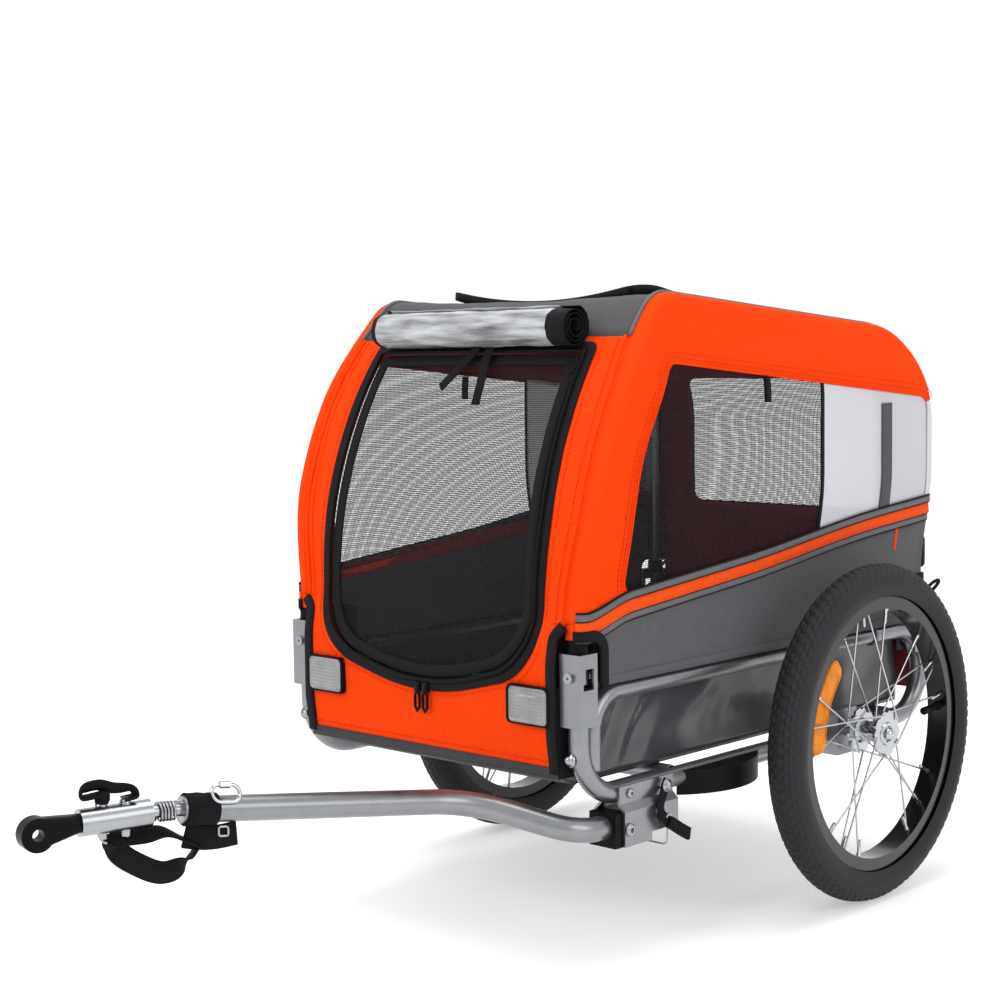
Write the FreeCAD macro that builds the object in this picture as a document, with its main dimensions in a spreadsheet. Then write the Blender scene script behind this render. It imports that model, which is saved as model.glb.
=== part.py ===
"""Dog bike trailer: folding tube frame, fabric cabin, spoked wheels and sprung drawbar.

Millimetres. The origin is on the ground under the middle of the part. +Z is up, the drawbar points to -Y
and +X is the drawbar's side of the trailer.
"""
import FreeCAD
import Part
import math
import os
from FreeCAD import Rotation, Vector

SIZES = (
    ("overall_length", 1210.0, "hitch eye tip to the rear bend of the side tubes"),
    ("overall_width", 620.0, "hub button to hub button"),
    ("drawbar_reach", 525.0, "hitch eye tip to the front panel"),
    ("wheel_bay", 92.0, "side panel to hub button face"),
    ("rail_overhang", 15.0, "rear bend behind the rear panel"),
    ("hem_height", 212.0, "lower edge of the front and rear panels"),
    ("roof_setback", 142.6, "front roof corner behind the front panel"),
    ("roof_front_height", 709.7, "front roof corner before rounding"),
    ("roof_front_radius", 40.0, "rounding of the front roof corner"),
    ("roof_rear_radius", 128.0, "rounding of the rear roof corner"),
    ("fabric", 1.5, "thickness of the cabin fabric"),
    ("sleeve_gap", 0.5, "room between an arch and its fabric sleeve"),
    ("seam_inset", 20.0, "side panel wraps this far round the cabin"),
    ("roof_seam_run", 90.0, "rear panel meets the roof this far from the back"),
    ("side_tube", 22.0, "outer diameter of post and lower rail"),
    ("upper_tube", 19.0, "outer diameter of the upper rail"),
    ("cross_tube", 19.0, "outer diameter of the cross tubes"),
    ("arch_tube", 16.0, "outer diameter of the folding arches"),
    ("tube_wall", 1.5, "wall of every frame tube"),
    ("weld_gap", 0.05, "clearance between frame pieces that are welded"),
    ("post_setback", 7.5, "front post behind the front panel"),
    ("lower_rail_height", 183.0, "centre of the lower rail"),
    ("upper_rail_rear", 110.0, "upper rail ends this far from the rear panel"),
    ("cross_front", 160.0, "front cross tube behind the front panel"),
    ("cross_rear", 70.0, "rear cross tube ahead of the rear panel"),
    ("hinge_height", 314.0, "axis of the folding arches"),
    ("hinge_stub", 8.0, "arch below its hinge bolt"),
    ("hinge_bolt", 6.0, "hinge bolt shank"),
    ("hinge_head", 11.0, "hinge bolt head"),
    ("hinge_head_height", 3.5, "hinge bolt head thickness"),
    ("bolt_clearance", 0.1, "radial room round a turning bolt"),
    ("bracket_plate", 2.5, "hinge bracket sheet"),
    ("bracket_gap", 0.2, "bracket sheet to side tube"),
    ("bracket_height", 76.0, "hinge bracket"),
    ("bracket_depth", 28.0, "hinge bracket along the trailer"),
    ("bracket_rise", 24.0, "bracket top above the hinge bolt"),
    ("bracket_window", 22.0, "window in the bracket's outer cheek"),
    ("notch_depth", 34.0, "fabric cut back along the trailer"),
    ("tub_floor", 197.0, "underside of the tub"),
    ("tub_wall", 2.0, "tub sheet"),
    ("tub_gap", 0.8, "tub to hinge brackets"),
    ("tub_setback", 14.0, "tub behind the front and rear panels"),
    ("board", 6.0, "floor board"),
    ("board_gap", 3.0, "floor board to tub wall"),
    ("window_front_low", 64.0, "window's lower front corner behind the front panel"),
    ("window_front_top", 129.0, "window's upper front corner behind the front panel"),
    ("window_sill", 18.0, "window above the skirt seam"),
    ("window_rear_edge", 18.0, "window ahead of the rear panel"),
    ("door_shoulder", 325.0, "height of the lower corners"),
    ("door_bottom", 282.0, "lower point of the front door"),
    ("zip_gap", 1.0, "gap along each zip"),
    ("rear_mesh_low", 440.0, "rear mesh lower edge"),
    ("hatch_radius", 30.0, "roof hatch corners"),
    ("roll_diameter", 46.0, "rolled rain cover"),
    ("roll_gap", 0.5, "rain cover to front panel"),
    ("wheel_radius", 198.0, "outside of the tyre"),
    ("tyre_section", 46.0, "width of the tyre"),
    ("tyre_wall", 3.5, "tyre casing"),
    ("rim_depth", 14.0, "rim bed to inner edge"),
    ("rim_width", 27.0, "rim"),
    ("rim_wall", 2.5, "rim wall"),
    ("tyre_seat", 160.0, "radius where tyre meets rim"),
    ("hub_reach", 27.0, "wheel plane to hub button face"),
    ("flange_offset", 17.0, "wheel plane to flange"),
    ("flange_radius", 27.0, "hub flange"),
    ("flange_plate", 3.0, "hub flange"),
    ("hub_barrel", 12.0, "hub barrel radius"),
    ("bearing_radius", 9.5, "bearing seat radius"),
    ("bearing_length", 7.0, "bearing"),
    ("axle_radius", 6.0, "wheel axle"),
    ("running_gap", 0.05, "radial room of a running fit"),
    ("spoke_radius", 1.1, "spoke"),
    ("spoke_spread", 4.0, "nipple from the wheel plane"),
    ("spoke_circle", 24.0, "spoke holes in the flange"),
    ("spoke_count", 10.0, "spokes on one flange"),
    ("spoke_cross", 62.0, "angle from spoke hole to nipple"),
    ("lamp_inner", 104.0, "spoke reflector, inner radius"),
    ("lamp_outer", 130.0, "spoke reflector, outer radius"),
    ("lamp_angle", 54.0, "spoke reflector, angle along the rim"),
    ("lamp_tilt", 157.0, "spoke reflector, angle from the rear"),
    ("lamp_plate", 7.0, "spoke reflector thickness"),
    ("button_radius", 7.0, "hub button"),
    ("button_height", 5.0, "hub button dome"),
    ("button_stem", 3.0, "hub button stem radius"),
    ("button_travel", 3.0, "hub button travel"),
    ("receiver_width", 40.0, "axle receiver along the rail"),
    ("receiver_low", 168.0, "axle receiver underside"),
    ("receiver_top", 222.0, "axle receiver top"),
    ("receiver_face", 36.0, "axle receiver face inside the wheel plane"),
    ("bumper_start", 165.0, "rail bumper behind the front panel"),
    ("bumper_bulge", 24.0, "rail bumper past the rail"),
    ("bumper_low", 163.0, "rail bumper underside"),
    ("bumper_height", 27.0, "rail bumper"),
    ("plate_start", 56.0, "drawbar bracket behind the front panel"),
    ("plate_length", 90.0, "drawbar bracket along the rail"),
    ("plate_low", 129.0, "drawbar bracket lower edge"),
    ("plate_joggle", 7.3, "drawbar bracket steps out below the rail"),
    ("plate_top", 9.0, "drawbar bracket above the rail's centre"),
    ("plate_sheet", 2.5, "drawbar bracket sheet"),
    ("rail_bolt", 6.0, "bracket bolt shank"),
    ("rail_bolt_span", 54.0, "bracket bolt spacing"),
    ("rail_bolt_start", 17.0, "first bracket bolt from the bracket's front"),
    ("pivot_setback", 63.0, "drawbar pivot behind the front panel"),
    ("pivot_height", 147.0, "drawbar pivot"),
    ("pivot_bolt", 8.0, "drawbar pivot bolt"),
    ("lock_setback", 119.0, "lock pin behind the front panel"),
    ("lock_pin", 8.0, "lock pin"),
    ("block_size", 36.0, "plastic end block"),
    ("block_nose", 19.0, "end block ahead of the pivot"),
    ("drawbar_tube", 26.0, "drawbar"),
    ("drawbar_wall", 2.0, "drawbar wall"),
    ("drawbar_tail", 13.0, "drawbar behind the pivot"),
    ("ring_wire", 2.2, "wire ring of a quick-release pin"),
    ("drop_z", 152.0, "drawbar's first bend"),
    ("sweep_z", 181.0, "drawbar's second bend"),
    ("drop_bend", 50.0, "radius of the first bend"),
    ("sweep_bend", 110.0, "radius of the second bend"),
    ("tip_x", 34.0, "front end of the drawbar tube"),
    ("tip_z", 218.0, "front end of the drawbar tube"),
    ("spring_length", 32.0, "drawbar tube to sleeve"),
    ("spring_diameter", 19.5, "outside of the coil spring"),
    ("spring_wire", 2.4, "spring wire"),
    ("spring_turns", 5.0, "spring turns"),
    ("spring_seat", 0.7, "spring end to tube end"),
    ("spring_ramp", 4.6, "rise of the spring's first and last quarter turn"),
    ("ball_radius", 6.2, "ball between tube and sleeve"),
    ("ball_gap", 0.3, "room round the ball"),
    ("plug_gap", 2.6, "end plug to the ball's middle plane"),
    ("plug_depth", 18.0, "end plug inside its tube"),
    ("sleeve_length", 70.0, "coupler sleeve"),
    ("sleeve_tube", 26.0, "coupler sleeve"),
    ("shank_radius", 9.0, "hitch eye shank"),
    ("shank_depth", 50.0, "shank inside the sleeve"),
    ("eye_radius", 16.0, "hitch eye"),
    ("eye_bore", 11.2, "hitch eye bore"),
    ("eye_width", 16.0, "hitch eye along its bore"),
    ("eye_drop", 4.0, "hitch eye below the sleeve's axis"),
    ("hitch_pin", 7.0, "hitch pin"),
    ("hitch_pin_setback", 24.0, "hitch pin behind the sleeve's front"),
    ("reflector_width", 60.0, "front reflector"),
    ("reflector_height", 42.0, "front reflector"),
    ("reflector_depth", 14.0, "front reflector with its pad"),
    ("reflector_z", 281.0, "front reflector centre"),
    ("tail_reflector_depth", 7.0, "rear reflector"),
    ("pull_width", 7.0, "zip pull"),
    ("pull_height", 34.0, "zip pull"),
    ("pull_depth", 4.0, "zip pull"),
    ("pull_lift", 7.0, "zip pull's top above the door's lower point before rounding"),
    ("pull_spacing", 12.0, "zip pulls, centre to centre"),
    ("strap_width", 22.0, "safety strap"),
    ("strap_sheet", 2.0, "safety strap"),
    ("hook_ring", 11.0, "strap hook, mean radius"),
    ("hook_wire", 4.0, "strap hook wire"),
)

# Sizes that follow others, each with its rule
TIED = (
    ("lean_height", "roof_front_height - 145.7", "corner height where the front leans back"),
    ("lean_radius", "min(450; (lean_height - hinge_height) * 450 / 250)", "rounding of that corner"),
    ("roof_rear_height", "roof_front_height - 43.7", "rear roof corner before rounding"),
    ("roof_seam_height", "roof_front_height - 47.7", "front panel meets the roof"),
    ("door_top", "roof_front_height - 64.7", "upper edge of the front door"),
    ("window_top_front", "roof_front_height - 77.7", "window's upper front corner"),
    ("window_top_rear", "roof_front_height - 123.7", "window's upper rear corner"),
    ("window_radius", "(window_top_rear - stripe_rear_height - window_sill) * 16 / 136", "window corners"),
    ("rear_mesh_top", "roof_front_height - 99.7", "rear mesh upper edge"),
    ("roll_height", "roof_front_height - 35.7", "rolled rain cover"),
    ("hatch_front", "cabin_length * 185 / 670", "roof hatch behind the front panel"),
    ("hatch_rear", "cabin_length * 120 / 670", "roof hatch ahead of the rear panel"),
    ("cabin_length", "overall_length - rail_overhang - drawbar_reach", "front panel to rear panel"),
    ("cabin_width", "overall_width - 2 * wheel_bay", "outside of one side panel to the other"),
    ("post_top", "hinge_height - 52", "height of the front post"),
    ("post_bend", "(post_top - lower_rail_height) * 62 / 79", "bend from post to lower rail"),
    ("upper_rail_height", "hinge_height - 22", "centre of the upper rail"),
    ("upper_bend", "(upper_rail_height - lower_rail_height) * 40 / 109", "front bend of the upper rail"),
    ("upper_rail_drop", "(upper_rail_height - lower_rail_height) * 78 / 109", "upper rail down the post"),
    ("notch_height", "hinge_height + 38", "fabric cut back round the hinge brackets"),
    ("stripe_front_height", "hinge_height + 56", "skirt seam at the front"),
    ("stripe_rear_height", "hinge_height + 118", "skirt seam at the rear"),
    ("tail_reflector_z", "hinge_height + 74", "rear reflector centre"),
    ("tub_top", "hinge_height - 14", "rim of the tub"),
    ("window_split", "cabin_length * 418 / 670", "clear window starts this far from the front"),
    ("axle_setback", "cabin_length * 221 / 670", "axle ahead of the rear panel"),
    ("bumper_length", "cabin_length * 150 / 670", "rail bumper along the rail"),
    ("door_top_width", "cabin_width - 122", "front door at its upper edge"),
    ("door_low_width", "door_top_width + 10", "front door at its lower corners"),
    ("door_corner", "door_low_width * 70 / 324", "rounding of the lower corners"),
    ("door_belly", "door_low_width * 300 / 324", "rounding of the lower point"),
    ("rear_mesh_width", "cabin_width - 142", "rear mesh"),
    ("hatch_width", "cabin_width - 106", "roof hatch"),
    ("roll_length", "cabin_width - 140", "rolled rain cover"),
    ("reflector_x", "cabin_width / 2 - 61", "front reflector from the middle"),
    ("drop_y", "drawbar_reach - overall_length / 2 + 2", "drawbar's first bend"),
    ("sweep_x", "cabin_width / 2 - 108", "drawbar's second bend"),
    ("sweep_y", "drawbar_reach - overall_length / 2 - 55", "drawbar's second bend"),
    ("tip_y", "drawbar_reach - overall_length / 2 - 369", "front end of the drawbar tube"),
)

doc = FreeCAD.newDocument("dog_trailer")
sheet = doc.addObject("Spreadsheet::Sheet", "sizes")
for row, (alias, number, note) in enumerate(SIZES + TIED, start=1):
    sheet.set(f"A{row}", alias)
    sheet.set(f"C{row}", note)
    sheet.setAlias(f"B{row}", alias)
for row, (alias, number, note) in enumerate(SIZES, start=1):
    sheet.set(f"B{row}", str(number))
for row, (alias, rule, note) in enumerate(TIED, start=len(SIZES) + 1):
    sheet.set(f"B{row}", f"={rule}")
doc.recompute()

X_AXIS = Vector(1, 0, 0)
Y_AXIS = Vector(0, 1, 0)
Z_AXIS = Vector(0, 0, 1)
ALONG_X = Rotation(Y_AXIS, 90)
ALONG_Y = Rotation(X_AXIS, -90)
SIDES = (("left", 1), ("right", -1))

# Places worked out from the sheet, as expressions that primitives are bound to
REAR = "(sizes.overall_length / 2 - sizes.rail_overhang)"
FRONT = f"({REAR} - sizes.cabin_length)"
HALF_CABIN = "(sizes.cabin_width / 2)"
SIDE_PLANE = f"({HALF_CABIN} - sizes.fabric - sizes.sleeve_gap - sizes.arch_tube / 2)"
WHEEL_X = "(sizes.overall_width / 2 - sizes.hub_reach)"
AXLE_Y = f"({REAR} - sizes.axle_setback)"
POST_Y = f"({FRONT} + sizes.post_setback)"
PIVOT_Y = f"({FRONT} + sizes.pivot_setback)"
LOCK_Y = f"({FRONT} + sizes.lock_setback)"
PLATE_Y = f"({FRONT} + sizes.plate_start)"
PLATE_INNER = "(sizes.side_tube / 2 + sizes.bracket_gap)"
PLATE_OUTER = f"({PLATE_INNER} + sizes.plate_joggle)"

nodes = []


def size(alias):
    """Give one driving size from the sheet."""
    return float(sheet.get(alias))


def value(expression):
    """Work out an expression of the sheet's sizes."""
    return float(sheet.evalExpression(expression))


def keep(item, label):
    """Name an object of the document as a finished sub-part."""
    item.Label = label
    nodes.append(item)
    return item


def solid(label, shape):
    """Add a finished sub-part whose shape was made with the shape functions."""
    item = doc.addObject("Part::Feature", label)
    item.Shape = shape
    return keep(item, label)


def bind(item, **expressions):
    """Bind properties and the placement of a primitive to the sheet."""
    for name, expression in expressions.items():
        path = f"Placement.Base.{name}" if name in ("x", "y", "z") else name
        item.setExpression(path, expression)
    return item


def box(name, size_xyz, **corner):
    """Add a box bound to the sheet, from its lowest corner."""
    item = doc.addObject("Part::Box", name)
    length, width, height = size_xyz
    return bind(item, Length=length, Width=width, Height=height, **corner)


def rod(name, radius, length, turn, **base):
    """Add a cylinder bound to the sheet, turned along an axis."""
    item = doc.addObject("Part::Cylinder", name)
    item.Placement = FreeCAD.Placement(Vector(), turn)
    return bind(item, Radius=radius, Height=length, **base)


def cut(name, base, *tools):
    """Cut tools from a base, one after another."""
    for index, tool in enumerate(tools):
        item = doc.addObject("Part::Cut", f"{name}_cut{index}")
        item.Base = base
        item.Tool = tool
        base = item
    return base


def group(name, *parts):
    """Gather separate solids into one sub-part."""
    item = doc.addObject("Part::Compound", f"{name}_group")
    item.Links = list(parts)
    return item


def unit(vector):
    """Give a copy of a vector with length 1."""
    copy = Vector(vector)
    return copy.normalize()


def rounded_edges(points, radii, closed=False):
    """Join points with straight runs and tangent arcs of the given radii."""
    count = len(points)
    entries = []
    exits = []
    arcs = []
    for index, point in enumerate(points):
        inner = closed or 0 < index < count - 1
        if not inner or radii[index] <= 0:
            entries.append(point)
            exits.append(point)
            arcs.append(None)
            continue
        back = unit(points[index - 1] - point)
        ahead = unit(points[(index + 1) % count] - point)
        half = back.getAngle(ahead) / 2
        reach = radii[index] / math.tan(half)
        middle = radii[index] / math.sin(half) - radii[index]
        entries.append(point + back * reach)
        exits.append(point + ahead * reach)
        arcs.append(point + unit(back + ahead) * middle)
    edges = []
    for index in range(count):
        if arcs[index] is not None:
            edges.append(Part.Arc(entries[index], arcs[index], exits[index]).toShape())
        following = (index + 1) % count
        last = index == count - 1
        run = entries[following] - exits[index]
        if (closed or not last) and run.Length > 1e-6:
            edges.append(Part.LineSegment(exits[index], entries[following]).toShape())
    return edges


def bent_tube(points, radii, diameter, wall):
    """Sweep a round tube along straight runs and bends."""
    path = Part.Wire(rounded_edges(points, radii))
    heading = points[1] - points[0]
    shells = []
    for radius in (diameter / 2, diameter / 2 - wall):
        ring = Part.Wire(Part.Circle(points[0], heading, radius).toShape())
        shells.append(path.makePipeShell([ring], True, False))
    return shells[0].cut(shells[1])


def bent_wire(points, radii, diameter):
    """Sweep a solid round wire."""
    path = Part.Wire(rounded_edges(points, radii))
    ring = Part.Wire(Part.Circle(points[0], points[1] - points[0], diameter / 2).toShape())
    return path.makePipeShell([ring], True, False)


def cylinder_between(start, end, radius):
    """Make a round bar between two points."""
    run = end - start
    return Part.makeCylinder(radius, run.Length, start, run)


def mirrored(shape):
    """Give the same shape on the other side of the trailer."""
    return shape.mirror(Vector(), X_AXIS)


front = value(FRONT)
rear = value(REAR)
half_cabin = value(HALF_CABIN)
side_plane = value(SIDE_PLANE)
fabric = size("fabric")
wheel_x = value(WHEEL_X)
axle_y = value(AXLE_Y)
axle_z = size("wheel_radius")


def cabin_profile(inset, bottom):
    """Give the cabin's side outline, drawn in by a distance, as points with radii."""
    corners = (
        Vector(0, front, bottom),
        Vector(0, front, size("lean_height")),
        Vector(0, front + size("roof_setback"), size("roof_front_height")),
        Vector(0, rear, size("roof_rear_height")),
        Vector(0, rear, bottom),
    )
    runs = []
    for start, end in zip(corners, corners[1:]):
        heading = unit(end - start)
        inward = Vector(0, heading.z, -heading.y)
        runs.append((start + inward * inset, heading))
    points = [runs[0][0]]
    for (start, heading), (other, turn) in zip(runs, runs[1:]):
        gap = other - start
        across = heading.y * turn.z - heading.z * turn.y
        along = (gap.y * turn.z - gap.z * turn.y) / across
        points.append(start + heading * along)
    points.append(Vector(0, rear - inset, bottom))
    corner_radii = [size("lean_radius"), size("roof_front_radius"), size("roof_rear_radius")]
    return points, [0] + [radius - inset for radius in corner_radii] + [0]


arch_inset = fabric + size("sleeve_gap") + size("arch_tube") / 2


def cabin_block(inset, bottom):
    """Make the cabin's outer form as a solid, drawn in by a distance, with edges round the arches."""
    half = half_cabin - inset
    points, radii = cabin_profile(inset, bottom)
    moved = [Vector(-half, point.y, point.z) for point in points]
    edges = rounded_edges(moved, radii)
    edges.append(Part.LineSegment(moved[-1], moved[0]).toShape())
    block = Part.Face(Part.Wire(edges)).extrude(Vector(2 * half, 0, 0))
    rims = []
    for edge in block.Edges:
        at_end = all(abs(abs(vertex.X) - half) < 1e-4 for vertex in edge.Vertexes)
        spans = abs(edge.BoundBox.XLength) > 1
        low = edge.BoundBox.ZMax < bottom + 1
        if at_end and not spans and not low:
            rims.append(edge)
    return block.makeFillet(arch_inset - inset, rims)


def slab_of(low, high):
    """Make a plain block between two corners."""
    span = high - low
    return Part.makeBox(span.x, span.y, span.z, low)


def prism(points, radii, run):
    """Extrude a rounded outline."""
    wire = Part.Wire(rounded_edges(points, radii, closed=True))
    return Part.Face(wire).extrude(run)


FAR = 1000.0
hem = size("hem_height")
cabin_outer = cabin_block(0, hem)
cabin_skin = cabin_outer.cut(cabin_block(fabric, hem - 20))
seam_x = half_cabin - size("seam_inset")
rail_top = size("upper_rail_height") + size("upper_tube") / 2
skirt_low = rail_top + size("sleeve_gap")


def stripe_height(place):
    """Give the skirt seam's height at a place along the trailer."""
    share = (place - front) / size("cabin_length")
    rise = size("stripe_rear_height") - size("stripe_front_height")
    return size("stripe_front_height") + share * rise


# Side tubes: front post, lower rail and rear bend in one bent tube
post_y = value(POST_Y)
tail_y = size("overall_length") / 2 - size("side_tube") / 2
lower_z = size("lower_rail_height")
upper_z = size("upper_rail_height")
rear_bend = (upper_z - lower_z) / 2 - 0.5
upper_end = rear - size("upper_rail_rear")
side_points = [
    Vector(side_plane, post_y, size("post_top")),
    Vector(side_plane, post_y, lower_z),
    Vector(side_plane, tail_y, lower_z),
    Vector(side_plane, tail_y, upper_z),
    Vector(side_plane, upper_end, upper_z),
]
side_radii = [0, size("post_bend"), rear_bend, rear_bend, 0]
side_shape = bent_tube(side_points, side_radii, size("side_tube"), size("tube_wall"))
side_solid = bent_wire(side_points, side_radii, size("side_tube") + 2 * size("weld_gap"))
bolt_rows = [value(PLATE_Y) + size("rail_bolt_start") + step * size("rail_bolt_span") for step in (0, 1)]
bolt_hole = size("rail_bolt") / 2 + size("bolt_clearance")
drilled = side_shape
for bolt_y in bolt_rows:
    hole = Part.makeCylinder(bolt_hole, FAR, Vector(0, bolt_y, lower_z), X_AXIS)
    drilled = drilled.cut(hole)
solid("side_tube_left", drilled)
solid("side_tube_right", mirrored(side_shape))

# Upper rails end on the rear side of the posts
upper_front = post_y + size("side_tube") / 2 + size("upper_tube") / 2 + size("weld_gap")
upper_points = [
    Vector(side_plane, upper_end - size("weld_gap"), upper_z),
    Vector(side_plane, upper_front, upper_z),
    Vector(side_plane, upper_front, upper_z - size("upper_rail_drop")),
]
upper_shape = bent_tube(upper_points, [0, size("upper_bend"), 0], size("upper_tube"), size("tube_wall"))
upper_shape = upper_shape.cut(side_solid)
solid("upper_rails", Part.makeCompound([upper_shape, mirrored(upper_shape)]))

# Cross tubes carry the tub and are coped on to the lower rails
CROSS_Z = "(sizes.tub_floor - sizes.cross_tube / 2 - sizes.weld_gap)"
COPE = "(sizes.side_tube / 2 + sizes.weld_gap)"
cross_parts = []
for name, place in (("front", f"{FRONT} + sizes.cross_front"), ("rear", f"{REAR} - sizes.cross_rear")):
    span = f"2 * {SIDE_PLANE}"
    start = f"-{SIDE_PLANE}"
    bar = rod(f"cross_bar_{name}", "sizes.cross_tube / 2", span, ALONG_X, x=start, y=place, z=CROSS_Z)
    bore = rod(f"cross_bore_{name}", "sizes.cross_tube / 2 - sizes.tube_wall", span, ALONG_X,
               x=start, y=place, z=CROSS_Z)
    copes = []
    for side, sign in SIDES:
        copes.append(rod(f"cope_{name}_{side}", COPE, "sizes.overall_length", ALONG_Y,
                         x=f"{sign} * {SIDE_PLANE}", y="-sizes.overall_length / 2",
                         z="sizes.lower_rail_height"))
    cross_parts.append(cut(f"cross_{name}", bar, bore, *copes))
keep(group("cross_tubes", *cross_parts), "cross_tubes")


def hinge_bracket(outer_y, facing, foot):
    """Make one hinge bracket: a drilled plate, a windowed outer cheek and a low inner cheek."""
    sheet_gauge = size("bracket_plate")
    reach = size("side_tube") / 2 + size("bracket_gap")
    top = size("hinge_height") + size("bracket_rise")
    low = top - size("bracket_height")
    depth = size("bracket_depth") * facing
    near, far = sorted((outer_y, outer_y + depth))
    plate_near, plate_far = sorted((outer_y, outer_y + sheet_gauge * facing))
    left = side_plane - reach - sheet_gauge
    right = side_plane + reach + sheet_gauge
    plate = slab_of(Vector(left, plate_near, foot), Vector(right, plate_far, top))
    cheek = slab_of(Vector(right - sheet_gauge, near, low), Vector(right, far, top))
    inner_top = size("hinge_height") - size("hinge_stub") - 8
    inner = slab_of(Vector(left, near, low), Vector(left + sheet_gauge, far, inner_top))
    window_z = size("hinge_height") - size("bracket_window") / 2 - 2
    margin = 6.0
    window = slab_of(
        Vector(right - 2 * sheet_gauge, near + margin, window_z),
        Vector(right + sheet_gauge, far - margin, window_z + size("bracket_window")),
    )
    hole_radius = size("hinge_bolt") / 2 + size("weld_gap")
    hole = Part.makeCylinder(hole_radius, 2 * FAR, Vector(side_plane, -FAR, size("hinge_height")), Y_AXIS)
    return plate.fuse([cheek, inner]).removeSplitter().cut(window).cut(hole).cut(side_solid)


bracket_front_y = post_y - size("side_tube") / 2 - size("weld_gap") - size("bracket_plate")
bracket_rear_y = rear + size("bracket_plate") + 0.5
bracket_low = size("hinge_height") + size("bracket_rise") - size("bracket_height")
front_bracket = hinge_bracket(bracket_front_y, 1, bracket_low)
rear_bracket = hinge_bracket(bracket_rear_y, -1, bracket_low + 18)
brackets = [front_bracket, rear_bracket]
solid("hinge_brackets", Part.makeCompound(brackets + [mirrored(shape) for shape in brackets]))

# Folding arches inside the fabric sleeves, each one bent tube from front hinge to rear hinge
arch_low = size("hinge_height") - size("hinge_stub")
arch_points, arch_radii = cabin_profile(arch_inset, arch_low)
arch_points = [Vector(side_plane, point.y, point.z) for point in arch_points]
arch_shape = bent_tube(arch_points, arch_radii, size("arch_tube"), size("tube_wall"))
hinge_hole = size("hinge_bolt") / 2 + size("bolt_clearance")
hinge_bore = Part.makeCylinder(hinge_hole, 2 * FAR, Vector(side_plane, -FAR, size("hinge_height")), Y_AXIS)
arch_shape = arch_shape.cut(hinge_bore)
solid("arch_left", arch_shape)
solid("arch_right", mirrored(arch_shape))


def hinge_bolt(outer_y, facing, arch_y):
    """Make a hinge bolt with its head, spacer collar and nut on one line through bracket and arch."""
    centre = Vector(side_plane, outer_y, size("hinge_height"))
    inward = Y_AXIS * facing
    gap = size("sleeve_gap")
    arch_near = abs(arch_y - outer_y) - size("arch_tube") / 2
    reach = abs(arch_y - outer_y) + size("arch_tube") / 2 + gap + size("hinge_head_height")
    head = Part.makeCylinder(size("hinge_head") / 2, size("hinge_head_height"), centre, inward * -1)
    shank = Part.makeCylinder(size("hinge_bolt") / 2, reach, centre, inward)
    collar_start = centre + inward * (size("bracket_plate") + size("weld_gap"))
    collar_length = arch_near - gap - size("bracket_plate") - size("weld_gap")
    collar = Part.makeCylinder(size("hinge_bolt") / 2 + 2, collar_length, collar_start, inward)
    nut_start = centre + inward * (reach - size("hinge_head_height"))
    nut = Part.makeCylinder(size("hinge_head") / 2, size("hinge_head_height"), nut_start, inward)
    socket = Part.makeCylinder(size("hinge_bolt") / 4, 2, centre - inward * size("hinge_head_height"), inward)
    return head.fuse([shank, collar, nut]).removeSplitter().cut(socket)


bolt_shapes = []
for outer_y, facing, arch_y in (
    (bracket_front_y, 1, arch_points[0].y),
    (bracket_rear_y, -1, arch_points[-1].y),
):
    bolt_shape = hinge_bolt(outer_y, facing, arch_y)
    bolt_shapes += [bolt_shape, mirrored(bolt_shape)]
solid("hinge_bolts", Part.makeCompound(bolt_shapes))

# Tub and floor board between the side tubes
TUB_HALF = f"({SIDE_PLANE} - {PLATE_INNER} - sizes.bracket_plate - sizes.tub_gap)"
TUB_FRONT = f"({FRONT} + sizes.tub_setback)"
TUB_RUN = "(sizes.cabin_length - 2 * sizes.tub_setback)"
tub_outside = box("tub_outside", (f"2 * {TUB_HALF}", TUB_RUN, "sizes.tub_top - sizes.tub_floor"),
                  x=f"-{TUB_HALF}", y=TUB_FRONT, z="sizes.tub_floor")
tub_inside = box("tub_inside", (f"2 * {TUB_HALF} - 2 * sizes.tub_wall", f"{TUB_RUN} - 2 * sizes.tub_wall",
                                "sizes.tub_top"),
                 x=f"-{TUB_HALF} + sizes.tub_wall", y=f"{TUB_FRONT} + sizes.tub_wall",
                 z="sizes.tub_floor + sizes.tub_wall")
keep(cut("tub", tub_outside, tub_inside), "lower_tub")
BOARD_EDGE = "(sizes.tub_wall + sizes.board_gap)"
keep(box("floor_board",
         (f"2 * {TUB_HALF} - 2 * {BOARD_EDGE}", f"{TUB_RUN} - 2 * {BOARD_EDGE}", "sizes.board"),
         x=f"-{TUB_HALF} + {BOARD_EDGE}", y=f"{TUB_FRONT} + {BOARD_EDGE}",
         z="sizes.tub_floor + sizes.tub_wall"), "floor_board")

# Cabin fabric is cut from one skin along its seams
notch_x = side_plane - size("side_tube") / 2 - size("bracket_plate") - 1.5
notches = []
for near, far in ((front - 50, front + size("notch_depth")), (rear - size("notch_depth"), rear + 50)):
    for low_x, high_x in ((notch_x, FAR), (-FAR, -notch_x)):
        notches.append(slab_of(Vector(low_x, near, 0), Vector(high_x, far, size("notch_height"))))
skin = cabin_skin.cut(notches)


def door_outline(inset, place):
    """Give the front door's outline, drawn in by a distance."""
    top = size("door_top_width") / 2 - inset
    low = size("door_low_width") / 2 - inset
    points = [
        Vector(-top, place, size("door_top") - inset),
        Vector(-low, place, size("door_shoulder") + inset),
        Vector(0, place, size("door_bottom") + inset),
        Vector(low, place, size("door_shoulder") + inset),
        Vector(top, place, size("door_top") - inset),
    ]
    corner = size("door_corner") - inset
    return points, [8, corner, size("door_belly"), corner, 8]


def door_prism(inset):
    """Make a block through the front with the door's outline."""
    points, radii = door_outline(inset, front - 30)
    return prism(points, radii, Vector(0, size("roof_setback") + 30, 0))


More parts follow.
